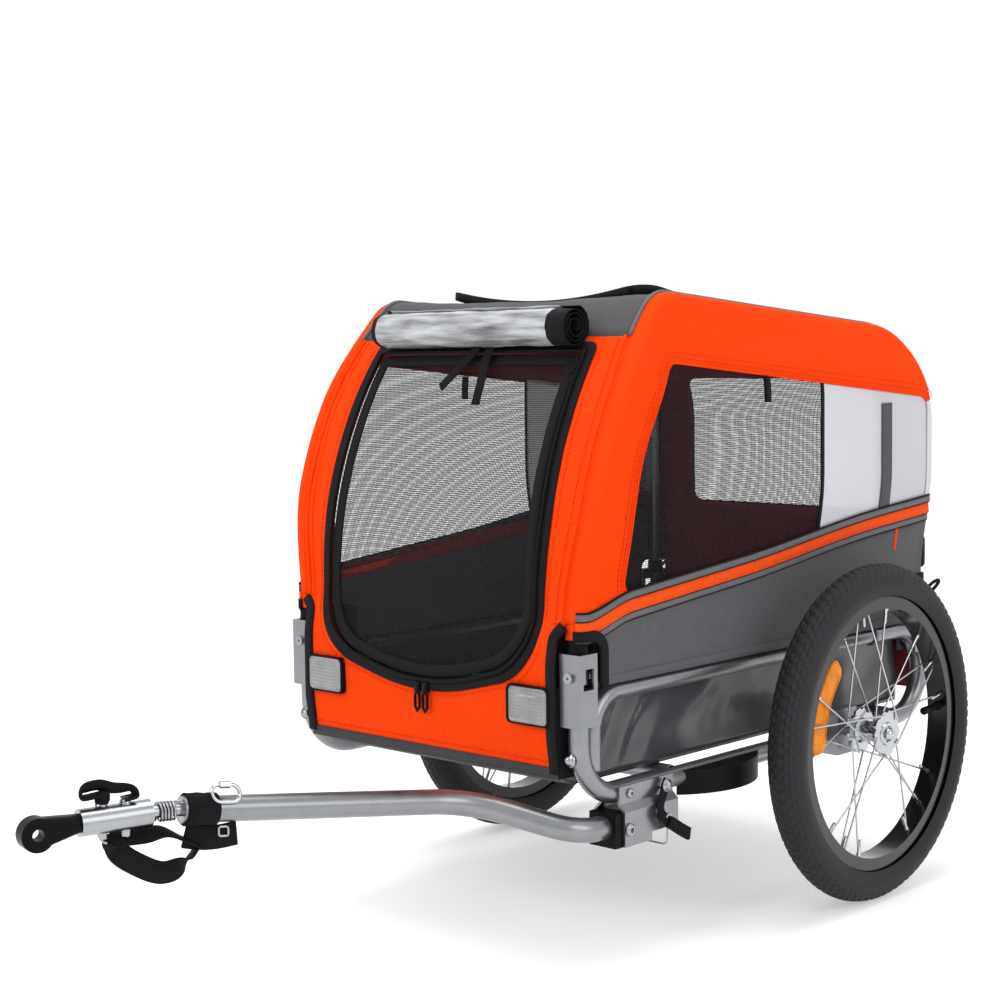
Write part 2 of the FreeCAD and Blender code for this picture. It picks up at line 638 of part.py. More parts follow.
def hatch_prism(inset):
    """Make a block through the roof with the hatch's outline."""
    half = size("hatch_width") / 2 - inset
    near = front + size("hatch_front") + inset
    far = rear - size("hatch_rear") - inset
    low = size("roof_seam_height")
    points = [
        Vector(-half, near, low),
        Vector(half, near, low),
        Vector(half, far, low),
        Vector(-half, far, low),
    ]
    return prism(points, [size("hatch_radius") - inset] * 4, Vector(0, 0, 100))


middle = slab_of(Vector(-seam_x, -FAR, 0), Vector(seam_x, FAR, FAR))
roof_seam = size("roof_seam_height")
roof_end = rear - size("roof_seam_run")
front_zone = slab_of(Vector(-FAR, -FAR, 0), Vector(FAR, front + 300, roof_seam))
roof_zone = slab_of(Vector(-FAR, -FAR, roof_seam), Vector(FAR, roof_end, FAR))
rear_zone = slab_of(Vector(-FAR, roof_end, 0), Vector(FAR, FAR, FAR))
middle_skin = skin.common(middle)
solid("front_panel", middle_skin.common(front_zone).cut(door_prism(0)))
solid("front_door", middle_skin.common(front_zone).common(door_prism(size("zip_gap"))))
solid("roof_panel", middle_skin.common(roof_zone).cut(hatch_prism(0)))
solid("roof_hatch", middle_skin.common(roof_zone).common(hatch_prism(size("zip_gap"))))
mesh_half = size("rear_mesh_width") / 2
mesh_points = [
    Vector(-mesh_half, rear - 100, size("rear_mesh_low")),
    Vector(mesh_half, rear - 100, size("rear_mesh_low")),
    Vector(mesh_half, rear - 100, size("rear_mesh_top")),
    Vector(-mesh_half, rear - 100, size("rear_mesh_top")),
]
rear_opening = prism(mesh_points, [size("window_radius")] * 4, Vector(0, 150, 0))
solid("rear_panel", middle_skin.common(rear_zone).cut(rear_opening))
solid("rear_mesh", middle_skin.common(rear_zone).common(rear_opening))

window_front = front + size("window_front_low")
window_rear = rear - size("window_rear_edge")
window_points = [
    Vector(0, window_front, stripe_height(window_front) + size("window_sill")),
    Vector(0, front + size("window_front_top"), size("window_top_front")),
    Vector(0, window_rear, size("window_top_rear")),
    Vector(0, window_rear, stripe_height(window_rear) + size("window_sill")),
]
side_window = prism(window_points, [size("window_radius")] * 4, Vector(FAR, 0, 0))
stripe_points = [
    Vector(seam_x, front - 50, stripe_height(front - 50)),
    Vector(seam_x, rear + 50, stripe_height(rear + 50)),
    Vector(seam_x, rear + 50, FAR),
    Vector(seam_x, front - 50, FAR),
]
band_zone = prism(stripe_points, [0] * 4, Vector(FAR, 0, 0))
side_zone = slab_of(Vector(seam_x, -FAR, skirt_low), Vector(FAR, FAR, FAR))
side_skin = skin.common(side_zone)
band = side_skin.common(band_zone)
skirt = side_skin.cut(band_zone)
glazing = band.common(side_window)
split_y = front + size("window_split")
mesh_part = glazing.common(slab_of(Vector(0, -FAR, 0), Vector(FAR, split_y, FAR)))
clear_part = glazing.common(slab_of(Vector(0, split_y, 0), Vector(FAR, FAR, FAR)))
side_panel = band.cut(side_window)
solid("side_panel_left", side_panel)
solid("side_panel_right", mirrored(side_panel))
solid("side_skirts", Part.makeCompound([skirt, mirrored(skirt)]))
solid("window_mesh", Part.makeCompound([mesh_part, mirrored(mesh_part)]))
solid("window_clear", Part.makeCompound([clear_part, mirrored(clear_part)]))

# Rain cover, rolled up on the front panel above the door
roll_radius = size("roll_diameter") / 2
lean_centre = Vector(0, front + size("lean_radius"), 0)
points, radii = cabin_profile(0, hem)
lean_turn = unit(points[0] - points[1]).getAngle(unit(points[2] - points[1]))
lean_centre.z = points[1].z - size("lean_radius") / math.tan(lean_turn / 2)
roll_reach = size("lean_radius") + roll_radius + size("roll_gap")
roll_rise = size("roll_height") - lean_centre.z
lean_run = unit(points[2] - points[1])
if roll_rise <= roll_reach * lean_run.y:
    roll_y = lean_centre.y - math.sqrt(roll_reach ** 2 - roll_rise ** 2)
else:
    roll_off = roll_radius + size("roll_gap")
    roll_climb = (size("roll_height") - points[1].z - roll_off * lean_run.y) / lean_run.z
    roll_y = points[1].y + roll_climb * lean_run.y - roll_off * lean_run.z
roll_start = Vector(-size("roll_length") / 2, roll_y, size("roll_height"))
solid("rain_cover_roll", Part.makeCylinder(roll_radius, size("roll_length"), roll_start, X_AXIS))

# Front and rear reflectors lie on the fabric
keep(group("front_reflectors", *[
    box(f"front_reflector_{side}",
        ("sizes.reflector_width", "sizes.reflector_depth", "sizes.reflector_height"),
        x=f"{sign} * sizes.reflector_x - sizes.reflector_width / 2",
        y=f"{FRONT} - sizes.reflector_depth - sizes.weld_gap",
        z="sizes.reflector_z - sizes.reflector_height / 2")
    for side, sign in SIDES]), "front_reflectors")
keep(group("rear_reflectors", *[
    box(f"rear_reflector_{side}",
        ("sizes.reflector_height", "sizes.tail_reflector_depth", "sizes.reflector_height"),
        x=f"{sign} * ({HALF_CABIN} - sizes.seam_inset) - sizes.reflector_height / 2",
        y=f"{REAR} + sizes.weld_gap",
        z="sizes.tail_reflector_z - sizes.reflector_height / 2")
    for side, sign in SIDES]), "rear_reflectors")

# Zip pulls hang side by side below the door
for side, sign in SIDES:
    keep(box(f"zip_pull_{side}", ("sizes.pull_width", "sizes.pull_depth", "sizes.pull_height"),
             x=f"{sign} * sizes.pull_spacing / 2 - sizes.pull_width / 2",
             y=f"{FRONT} - sizes.pull_depth - 0.3",
             z="sizes.door_bottom + sizes.pull_lift - sizes.pull_height"), f"zip_pull_{side}")

# Rail bumpers: rounded black pads on the lower rails ahead of the wheels
bumper_points = [
    Vector(side_plane + 4, front + size("bumper_start"), size("bumper_low")),
    Vector(side_plane + 4, front + size("bumper_start") + size("bumper_length"), size("bumper_low")),
]
bumper_top = Vector(side_plane + size("side_tube") / 2 + size("bumper_bulge"),
                    front + size("bumper_start") + size("bumper_length") / 2, size("bumper_low"))
bumper_wire = Part.Wire([
    Part.Arc(bumper_points[0], bumper_top, bumper_points[1]).toShape(),
    Part.LineSegment(bumper_points[1], bumper_points[0]).toShape(),
])
bumper = Part.Face(bumper_wire).extrude(Vector(0, 0, size("bumper_height")))
rail_core = Part.makeCylinder(size("side_tube") / 2 + size("weld_gap"), 2 * FAR,
                              Vector(side_plane, -FAR, lower_z), Y_AXIS)
bumper = bumper.cut(rail_core)
solid("rail_bumpers", Part.makeCompound([bumper, mirrored(bumper)]))

# Axle receivers on the lower rails, with the axles pressed in
receiver_out = wheel_x - size("receiver_face")
receiver = slab_of(
    Vector(side_plane + 4, axle_y - size("receiver_width") / 2, size("receiver_low")),
    Vector(receiver_out, axle_y + size("receiver_width") / 2, size("receiver_top")),
)
axle_line = Vector(0, axle_y, axle_z)
receiver = receiver.cut(rail_core)
receiver = receiver.cut(Part.makeCylinder(size("axle_radius") + size("weld_gap"), FAR, axle_line, X_AXIS))
solid("axle_receivers", Part.makeCompound([receiver, mirrored(receiver)]))
hub_half = size("flange_offset") + size("flange_plate") / 2
button_back = wheel_x + size("hub_reach") - size("button_height")
axle_out = button_back - size("button_travel") - 1
axle_in = side_plane + size("side_tube") / 2 + 2
axle = cylinder_between(Vector(axle_in, axle_y, axle_z), Vector(axle_out, axle_y, axle_z),
                        size("axle_radius"))
collar = cylinder_between(Vector(receiver_out, axle_y, axle_z),
                          Vector(wheel_x - hub_half - 0.5, axle_y, axle_z),
                          size("axle_radius") + 3)
stem_bore = size("button_stem") + size("running_gap")
bore_start = Vector(axle_out - 20, axle_y, axle_z)
axle = axle.fuse(collar).removeSplitter().cut(Part.makeCylinder(stem_bore, 40, bore_start, X_AXIS))
solid("wheel_axles", Part.makeCompound([axle, mirrored(axle)]))


def hub_button():
    """Make the domed release button with its stem in the axle's bore."""
    back = Vector(button_back, axle_y, axle_z)
    rise = size("button_height")
    radius = (size("button_radius") ** 2 + rise ** 2) / (2 * rise)
    dome = Part.makeSphere(radius, Vector(button_back + rise - radius, axle_y, axle_z))
    cap = dome.common(Part.makeCylinder(size("button_radius"), rise + 1, back, X_AXIS))
    stem = Part.makeCylinder(size("button_stem"), 14, back - X_AXIS * 14, X_AXIS)
    return cap.fuse(stem).removeSplitter()


def spoke_drop(rim_inner):
    """Give how far a spoke sinks towards the wheel plane before it leaves its flange."""
    hole = size("spoke_circle")
    turn = math.radians(size("spoke_cross"))
    chord = math.sqrt(hole ** 2 + rim_inner ** 2 - 2 * hole * rim_inner * math.cos(turn))
    outward = (rim_inner * math.cos(turn) - hole) / chord
    leave = -hole * outward + math.sqrt((hole * outward) ** 2 + size("flange_radius") ** 2 - hole ** 2)
    steepness = (size("flange_offset") + size("flange_plate") - size("spoke_spread")) / chord
    return 1.25 * steepness * leave


def wheel_spokes():
    """Make the crossed spokes of both flanges, laid on either face of each flange."""
    count = int(size("spoke_count"))
    lift = size("flange_plate") / 2 + size("spoke_radius") + size("weld_gap")
    rim_inner = size("tyre_seat") - size("rim_depth")
    slope_room = spoke_drop(rim_inner)
    bars = []
    for flange in (1, -1):
        for index in range(count):
            lean = 1 if index % 2 else -1
            stand = lift + (slope_room if lean == flange else 0)
            start = math.radians(360 / count * index + (180 / count if flange < 0 else 0))
            end = start + math.radians(size("spoke_cross") * lean)
            root = Vector(wheel_x + flange * size("flange_offset") + stand * lean,
                          axle_y + size("spoke_circle") * math.cos(start),
                          axle_z + size("spoke_circle") * math.sin(start))
            tip = Vector(wheel_x + flange * size("spoke_spread"),
                         axle_y + rim_inner * math.cos(end),
                         axle_z + rim_inner * math.sin(end))
            bars.append(cylinder_between(root, tip, size("spoke_radius")))
    bed = Part.makeCylinder(rim_inner - size("weld_gap"), FAR, Vector(0, axle_y, axle_z), X_AXIS)
    return Part.makeCompound([bar.common(bed) for bar in bars])


def turned(outline):
    """Turn a closed outline of (distance along X, radius) pairs round the axle."""
    points = [Vector(wheel_x + along, axle_y, axle_z + radius) for along, radius in outline]
    wire = Part.makePolygon(points + points[:1])
    return Part.Face(wire).revolve(Vector(wheel_x, axle_y, axle_z), X_AXIS, 360)


def hub_shell():
    """Make the hub: two flanges on a barrel, bored for the bearings."""
    offset = size("flange_offset")
    plate = size("flange_plate") / 2
    rim = size("flange_radius")
    barrel = size("hub_barrel")
    bore = size("bearing_radius") + size("running_gap")
    outline = [
        (-offset - plate, bore), (-offset - plate, rim), (-offset + plate, rim), (-offset + plate, barrel),
        (offset - plate, barrel), (offset - plate, rim), (offset + plate, rim), (offset + plate, bore),
    ]
    return turned(outline)


def hub_bearings():
    """Make the two bearing rings at the hub's ends."""
    rings = []
    inner = size("axle_radius") + size("running_gap")
    for end in (1, -1):
        outside = end * hub_half
        inside = end * (hub_half - size("bearing_length"))
        outline = [(inside, inner), (outside, inner), (outside, size("bearing_radius")),
                   (inside, size("bearing_radius"))]
        rings.append(turned(outline))
    return Part.makeCompound(rings)


def spoke_reflector():
    """Make the reflector between the spokes, curved along the rim."""
    half = size("lamp_plate") / 2
    outline = [(-half, size("lamp_inner")), (half, size("lamp_inner")), (half, size("lamp_outer")),
               (-half, size("lamp_outer"))]
    points = [Vector(wheel_x + along, axle_y, axle_z + radius) for along, radius in outline]
    face = Part.Face(Part.makePolygon(points + points[:1]))
    arc = face.revolve(Vector(wheel_x, axle_y, axle_z), X_AXIS, size("lamp_angle"))
    arc.rotate(Vector(wheel_x, axle_y, axle_z), X_AXIS, size("lamp_tilt") - 90 - size("lamp_angle") / 2)
    return arc


def tyre_casing():
    """Make the tyre: a round casing, open towards the rim's edges."""
    middle = size("wheel_radius") - size("tyre_section") / 2
    sink = middle - size("tyre_seat")
    arcs = []
    ends = []
    for radius in (size("tyre_section") / 2, size("tyre_section") / 2 - size("tyre_wall")):
        reach = math.sqrt(radius ** 2 - sink ** 2)
        low = Vector(wheel_x - reach, axle_y, axle_z + size("tyre_seat"))
        high = Vector(wheel_x + reach, axle_y, axle_z + size("tyre_seat"))
        crown = Vector(wheel_x, axle_y, axle_z + middle + radius)
        arcs.append(Part.Arc(low, crown, high).toShape())
        ends.append((low, high))
    edges = [arcs[0], Part.LineSegment(ends[0][1], ends[1][1]).toShape(), arcs[1],
             Part.LineSegment(ends[1][0], ends[0][0]).toShape()]
    face = Part.Face(Part.Wire(edges))
    return face.revolve(Vector(wheel_x, axle_y, axle_z), X_AXIS, 360)


tyre_shape = tyre_casing()
button_shape = hub_button()
spoke_shape = wheel_spokes()
hub_shape = hub_shell()
bearing_shape = hub_bearings()
reflector_shape = spoke_reflector()
RIM_INNER = "(sizes.tyre_seat - sizes.rim_depth)"
for side, sign in SIDES:
    rim_at = {"x": f"{sign} * {WHEEL_X} - sizes.rim_width / 2", "y": AXLE_Y, "z": "sizes.wheel_radius"}
    rim_ring = rod(f"rim_ring_{side}", "sizes.tyre_seat", "sizes.rim_width", ALONG_X, **rim_at)
    rim_eye = rod(f"rim_eye_{side}", RIM_INNER, "sizes.rim_width", ALONG_X, **rim_at)
    well_at = dict(rim_at, x=f"{sign} * {WHEEL_X} - sizes.rim_width / 2 + sizes.rim_wall")
    well_run = "sizes.rim_width - 2 * sizes.rim_wall"
    well = rod(f"rim_well_{side}", "sizes.tyre_seat + 1", well_run, ALONG_X, **well_at)
    well_floor = rod(f"rim_floor_{side}", f"{RIM_INNER} + sizes.rim_wall", well_run, ALONG_X, **well_at)
    groove = cut(f"rim_groove_{side}", well, well_floor)
    keep(cut(f"rim_{side}", rim_ring, rim_eye, groove), f"rim_{side}")

    for label, shape in (("tyre", tyre_shape), ("spokes", spoke_shape), ("hub", hub_shape),
                         ("hub_bearings", bearing_shape),
                         ("spoke_reflector", reflector_shape), ("hub_button", button_shape)):
        solid(f"{label}_{side}", shape if sign > 0 else mirrored(shape))

# Drawbar bracket: two stepped plates bolted through the lower rail
pivot = Vector(side_plane, value(PIVOT_Y), size("pivot_height"))
lock = Vector(side_plane, value(LOCK_Y), pivot.z + 2)
plate_in = value(PLATE_INNER)
plate_out = value(PLATE_OUTER)
gauge = size("plate_sheet")
step_top = lower_z - size("side_tube") / 2
plate_outline = [
    Vector(side_plane + plate_in, value(PLATE_Y), lower_z + size("plate_top")),
    Vector(side_plane + plate_in, value(PLATE_Y), step_top),
    Vector(side_plane + plate_out, value(PLATE_Y), step_top - size("plate_joggle")),
    Vector(side_plane + plate_out, value(PLATE_Y), size("plate_low")),
    Vector(side_plane + plate_out + gauge, value(PLATE_Y), size("plate_low")),
    Vector(side_plane + plate_out + gauge, value(PLATE_Y), step_top - size("plate_joggle") + gauge / 2),
    Vector(side_plane + plate_in + gauge, value(PLATE_Y), step_top + gauge / 2),
    Vector(side_plane + plate_in + gauge, value(PLATE_Y), lower_z + size("plate_top")),
]
plate = Part.Face(Part.makePolygon(plate_outline + plate_outline[:1])).extrude(Y_AXIS * size("plate_length"))
corner_cut = slab_of(
    Vector(side_plane, value(PLATE_Y) + size("plate_length") / 2, size("plate_low") - 1),
    Vector(side_plane + 60, value(PLATE_Y) + size("plate_length") + 1, size("plate_low") + 9),
)
plate = plate.cut(corner_cut)
pin_hole = size("lock_pin") / 2 + size("bolt_clearance")
pivot_hole = size("pivot_bolt") / 2 + size("bolt_clearance")
holes = [Part.makeCylinder(bolt_hole, FAR, Vector(0, bolt_y, lower_z), X_AXIS) for bolt_y in bolt_rows]
holes.append(Part.makeCylinder(pivot_hole, FAR, Vector(0, pivot.y, pivot.z), X_AXIS))
holes.append(Part.makeCylinder(pin_hole, FAR, Vector(0, lock.y, lock.z), X_AXIS))
plate = plate.cut(holes)
inner_plate = plate.mirror(Vector(side_plane, 0, 0), X_AXIS)
solid("bracket_plates", Part.makeCompound([plate, inner_plate]))


def cross_bolt(place, radius, reach):
    """Make a bolt across the bracket with a domed head outside and a nut inside."""
    outer = Vector(place.x + reach, place.y, place.z)
    inner = Vector(place.x - reach, place.y, place.z)
    shank = cylinder_between(inner - X_AXIS * 6, outer, radius)
    head = Part.makeCylinder(radius * 1.75, radius, outer, X_AXIS)
    crown = [edge for edge in head.Edges if edge.BoundBox.XMin > outer.x + radius / 2]
    head = head.makeFillet(radius * 0.6, crown)
    socket = Part.makeCylinder(radius * 0.7, radius, outer + X_AXIS * radius * 0.4, X_AXIS)
    corners = []
    for index in range(6):
        angle = math.radians(60 * index)
        corners.append(inner + Vector(0, math.cos(angle), math.sin(angle)) * radius * 1.9)
    nut = Part.Face(Part.makePolygon(corners + corners[:1])).extrude(X_AXIS * -5)
    return shank.fuse([head, nut]).removeSplitter().cut(socket)


rail_bolts = [
    cross_bolt(Vector(side_plane, bolt_y, lower_z), size("rail_bolt") / 2,
               plate_in + gauge + size("weld_gap"))
    for bolt_y in bolt_rows
]
solid("bracket_bolts", Part.makeCompound(rail_bolts))
solid("drawbar_pivot_bolt", cross_bolt(pivot, size("pivot_bolt") / 2, plate_out + gauge + size("weld_gap")))


# Lock pin across the bracket, with its head outside and a wire ring under the plates
pin_reach = plate_out + gauge + 2
pin_start = Vector(lock.x - pin_reach - 3, lock.y, lock.z)
pin_end = Vector(lock.x + pin_reach, lock.y, lock.z)
lock_head = Part.makeCylinder(size("lock_pin") * 0.8, 7, pin_end, X_AXIS)
ball_end = size("ring_wire") / 2 + 0.25
lock_ring_top = pin_end + Vector(4, 0, -(size("lock_pin") * 0.8 + ball_end + 0.1))
lock_ring_low = lock.z - size("plate_low") + 8
lock_ring_points = [
    lock_ring_top,
    Vector(lock_ring_top.x, lock.y, lock.z - lock_ring_low),
    Vector(lock.x - pin_reach, lock.y, lock.z - lock_ring_low),
    Vector(lock.x - pin_reach, lock.y, lock.z - lock_ring_low + 5),
]
lock_ring = bent_wire(lock_ring_points, [0, 7, 3, 0], size("ring_wire"))
lock_shape = cylinder_between(pin_start, pin_end, size("lock_pin") / 2).fuse(lock_head)
solid("lock_pin", lock_shape.removeSplitter())
solid("lock_pin_ring", lock_ring.fuse(Part.makeSphere(ball_end, lock_ring_top)).removeSplitter())

# Drawbar: bent tube from the end block to the spring
tip = Vector(size("tip_x"), size("tip_y"), size("tip_z"))
tail = pivot + Y_AXIS * size("drawbar_tail")
bar_points = [
    Vector(tail.x, tail.y, tail.z),
    Vector(side_plane, size("drop_y"), size("drop_z")),
    Vector(size("sweep_x"), size("sweep_y"), size("sweep_z")),
    tip,
]
bar = bent_tube(bar_points, [0, size("drop_bend"), size("sweep_bend"), 0],
                size("drawbar_tube"), size("drawbar_wall"))
pivot_bore = Part.makeCylinder(pivot_hole, FAR, Vector(0, pivot.y, pivot.z), X_AXIS)
solid("drawbar_tube", bar.cut(pivot_bore))

half_block = size("block_size") / 2
nose = slab_of(
    Vector(side_plane - half_block, pivot.y - size("block_nose"), pivot.z - half_block),
    Vector(side_plane + half_block, pivot.y, pivot.z + half_block),
)
knuckle = Part.makeCylinder(half_block, size("block_size"),
                            Vector(side_plane - half_block, pivot.y, pivot.z), X_AXIS)
core_points = [bar_points[0] + Y_AXIS * 0.5] + bar_points[1:]
core_tube = size("drawbar_tube") + 2 * size("weld_gap")
core = bent_wire(core_points, [0, size("drop_bend"), size("sweep_bend"), 0], core_tube)
block = nose.fuse(knuckle).removeSplitter().cut(core).cut(pivot_bore)
solid("drawbar_block", block)

# Coupler: the sleeve lies level ahead of the rising drawbar tube
bar_heading = unit(tip - bar_points[2])
sleeve_heading = unit(Vector(bar_heading.x, bar_heading.y, 0))
half_spring = size("spring_length") / 2
ball_centre = tip + bar_heading * half_spring
sleeve_back = ball_centre + sleeve_heading * half_spring
sleeve_front = sleeve_back + sleeve_heading * size("sleeve_length")
cross_heading = sleeve_heading.cross(Z_AXIS)


def end_plug(face, heading, bore):
    """Make a turned plug that fills a tube's end and cups the ball."""
    neck = size("ball_radius")
    inside = face - heading * size("plug_depth")
    body = cylinder_between(inside, face, bore - size("weld_gap"))
    stem_end = ball_centre - heading * size("plug_gap")
    stem = cylinder_between(face, stem_end, neck)
    cup = Part.makeSphere(size("ball_radius") + size("ball_gap"), ball_centre)
    return body.fuse(stem).removeSplitter().cut(cup)


tube_bore = size("drawbar_tube") / 2 - size("drawbar_wall")
sleeve_bore = size("shank_radius") + size("running_gap")
solid("drawbar_end_plug", end_plug(tip, bar_heading, tube_bore))
solid("coupler_ball", Part.makeSphere(size("ball_radius"), ball_centre))
sleeve = cylinder_between(sleeve_back, sleeve_front, size("sleeve_tube") / 2)
sleeve = sleeve.cut(cylinder_between(sleeve_back, sleeve_front, sleeve_bore))
pin_centre = sleeve_front - sleeve_heading * size("hitch_pin_setback")
hitch_hole = Part.makeCylinder(size("hitch_pin") / 2 + size("bolt_clearance"), 200,
                               pin_centre - Z_AXIS * 100, Z_AXIS)
sleeve_plug = end_plug(sleeve_back, sleeve_heading * -1, sleeve_bore + 0.5)
solid("coupler_sleeve", sleeve.fuse(sleeve_plug).removeSplitter().cut(hitch_hole))

eye_reach = size("eye_radius") * abs(sleeve_heading.y) + size("eye_width") / 2 * abs(sleeve_heading.x)
eye_y = -size("overall_length") / 2 + eye_reach
eye_run = (eye_y - sleeve_front.y) / sleeve_heading.y
eye_centre = sleeve_front + sleeve_heading * eye_run - Z_AXIS * size("eye_drop")
half_eye = cross_heading * (size("eye_width") / 2)
eye_disc = cylinder_between(eye_centre - half_eye, eye_centre + half_eye, size("eye_radius"))
shank = cylinder_between(sleeve_front - sleeve_heading * size("shank_depth"),
                         sleeve_front + sleeve_heading * 6,
                         size("shank_radius"))
neck_start = sleeve_front + sleeve_heading * 2


def neck_section(centre, height, width):
    """Draw one rounded section of the arm between shank and eye."""
    side = cross_heading * (width / 2)
    rise = Z_AXIS * (height / 2)
    corners = [centre - side - rise, centre + side - rise, centre + side + rise, centre - side + rise]
    return Part.Wire(rounded_edges(corners, [min(height, width) * 0.3] * 4, closed=True))


neck = Part.makeLoft([
    neck_section(neck_start, 2 * size("shank_radius") - 1, 2 * size("shank_radius") - 1),
    neck_section(eye_centre, 1.9 * size("eye_radius"), size("eye_width") - 1),
], True, True)
bore = cylinder_between(eye_centre - cross_heading * 30, eye_centre + cross_heading * 30,
                        size("eye_bore") / 2)
solid("hitch_eye", eye_disc.fuse([shank, neck]).removeSplitter().cut(bore).cut(hitch_hole))

# Hitch pin stands through sleeve and shank, with a wire ring round the sleeve
pin_top = pin_centre + Z_AXIS * (size("sleeve_tube") / 2 + 3)
pin_foot = pin_centre - Z_AXIS * (size("sleeve_tube") / 2 + 5)
pin_head = Part.makeCylinder(size("hitch_pin") * 0.8, 7, pin_top, Z_AXIS)
solid("hitch_pin", cylinder_between(pin_foot, pin_top, size("hitch_pin") / 2).fuse(pin_head).removeSplitter())
ring_reach = size("sleeve_tube") / 2 + 4
ring_pivot = pin_top + Z_AXIS * 3 + cross_heading * (size("hitch_pin") * 0.8 + ball_end + 0.1)
ring_points = [
    ring_pivot,
    pin_top + Z_AXIS * 3 + cross_heading * ring_reach,
    pin_foot - Z_AXIS * 3 + cross_heading * ring_reach,
    pin_foot - Z_AXIS * 3 - cross_heading * 6,
]
hitch_ring = bent_wire(ring_points, [0, 7, 14, 0], size("ring_wire"))
solid("hitch_pin_ring", hitch_ring.fuse(Part.makeSphere(ball_end, ring_pivot)).removeSplitter())

# Coil spring: one wire of arcs, straight at both ends
spring_axis = unit(sleeve_back - tip)
spring_x = spring_axis.cross(Z_AXIS).normalize()
spring_y = spring_axis.cross(spring_x)
coil_radius = (size("spring_diameter") - size("spring_wire")) / 2
lead = size("spring_wire")
spring_run = (sleeve_back - tip).Length - 2 * size("spring_seat")
ramp = size("spring_ramp")


def coil_point(turn):
    """Give a point and heading of the coil at a number of turns."""
    pitch = (spring_run - 2 * lead - 2 * ramp) / size("spring_turns")
    angle = 2 * math.pi * turn
    around = spring_x * math.cos(angle) + spring_y * math.sin(angle)
    tangent = spring_y * math.cos(angle) - spring_x * math.sin(angle)
    place = tip + spring_axis * (size("spring_seat") + lead + ramp + pitch * turn) + around * coil_radius
    return place, unit(tangent * (2 * math.pi * coil_radius) + spring_axis * pitch)


def biarc(start, start_heading, end, end_heading):
    """Join two headings with two arcs."""
    run = end - start
    total = start_heading + end_heading
    quad = 2 * (start_heading.dot(end_heading) - 1)
    linear = -2 * run.dot(total)
    reach = (-linear - math.sqrt(linear ** 2 - 4 * quad * run.dot(run))) / (2 * quad)
    first = start + start_heading * reach
    second = end - end_heading * reach
    meeting = (first + second) * 0.5
    arcs = []
    for near, knee, far in ((start, first, meeting), (meeting, second, end)):
        chord = far - near
        half = (knee - near).getAngle(chord)
        centre = (near + far) * 0.5
        bulge = unit(knee - centre) * (chord.Length / 2 * math.tan(half / 2))
        arcs.append(Part.Arc(near, centre + bulge, far).toShape())
    return arcs


spring_stations = []
quarter = 0.25
steps = int(round(size("spring_turns") / quarter))
for index in range(steps + 1):
    spring_stations.append(coil_point(index * size("spring_turns") / steps))
before = coil_point(-quarter)[0]
after = coil_point(size("spring_turns") + quarter)[0]


def on_plane(point, height):
    """Move a point along the spring to a height over the tube's end."""
    return point + spring_axis * (height - (point - tip).dot(spring_axis))


foot_low = on_plane(before, size("spring_seat"))
foot_high = on_plane(before, size("spring_seat") + lead)
head_low = on_plane(after, size("spring_seat") + spring_run - lead)
head_high = on_plane(after, size("spring_seat") + spring_run)
stations = [(foot_high, spring_axis)] + spring_stations + [(head_low, spring_axis)]
spring_edges = [Part.LineSegment(foot_low, foot_high).toShape()]
for (start, start_heading), (end, end_heading) in zip(stations, stations[1:]):
    spring_edges += biarc(start, start_heading, end, end_heading)
spring_edges.append(Part.LineSegment(head_low, head_high).toShape())
spring_path = Part.Wire(spring_edges)
spring_ring = Part.Wire(Part.Circle(foot_low, spring_axis, size("spring_wire") / 2).toShape())
solid("coupler_spring", spring_path.makePipeShell([spring_ring], True, False))

# Safety strap: a limp webbing loop that hangs from the tube to the sleeve
strap_back = tip - bar_heading * 18
strap_under = size("drawbar_tube") / 2 + 1.5 * size("strap_sheet") + 0.3
strap_points = [
    strap_back - Z_AXIS * strap_under,
    strap_back + sleeve_heading * 12 - Z_AXIS * (strap_under + 12),
    strap_back + sleeve_heading * 20 - Z_AXIS * (strap_under + 34),
    strap_back + sleeve_heading * 36 - Z_AXIS * (strap_under + 52),
    strap_back + sleeve_heading * 58 - Z_AXIS * (strap_under + 50),
    strap_back + sleeve_heading * 78 - Z_AXIS * (strap_under + 32),
    strap_back + sleeve_heading * 92 - Z_AXIS * (strap_under + 10),
]
strap_radii = [0]
for back, here, ahead in zip(strap_points, strap_points[1:], strap_points[2:]):
    turn = (here - back).getAngle(ahead - here)
    shorter = min((here - back).Length, (ahead - here).Length)
    strap_radii.append(0.45 * shorter / math.tan(turn / 2))
strap_radii.append(0)
strap_path = Part.Wire(rounded_edges(strap_points, strap_radii))
strap_heading = unit(strap_points[1] - strap_points[0])
strap_side = cross_heading * (size("strap_width") / 2)
strap_up = cross_heading.cross(strap_heading) * (size("strap_sheet") / 2)
strap_corners = [
    strap_points[0] - strap_side - strap_up,
    strap_points[0] + strap_side - strap_up,
    strap_points[0] + strap_side + strap_up,
    strap_points[0] - strap_side + strap_up,
]
strap_section = Part.makePolygon(strap_corners + strap_corners[:1])
strap_shape = strap_path.makePipeShell([strap_section], True, False)
solid("safety_strap", strap_shape)

# Strap band round the tube, and the link that lies on the tube behind it
band_back = tip - bar_heading * 30
band_front = tip - bar_heading * 6
strap_band = cylinder_between(band_back, band_front, size("drawbar_tube") / 2 + size("strap_sheet"))
band_core = cylinder_between(band_back, band_front, size("drawbar_tube") / 2 + size("weld_gap"))
strap_band = strap_band.cut(band_core)
bar_up = unit(Z_AXIS - bar_heading * Z_AXIS.dot(bar_heading))
hook_lift = size("drawbar_tube") / 2 + size("hook_wire") / 2 + 0.2
hook_centre = tip - bar_heading * 44 + bar_up * hook_lift
hook = Part.makeTorus(size("hook_ring"), size("hook_wire") / 2, hook_centre, bar_up)
solid("strap_band", Part.makeCompound([strap_band, hook]))

doc.recompute()

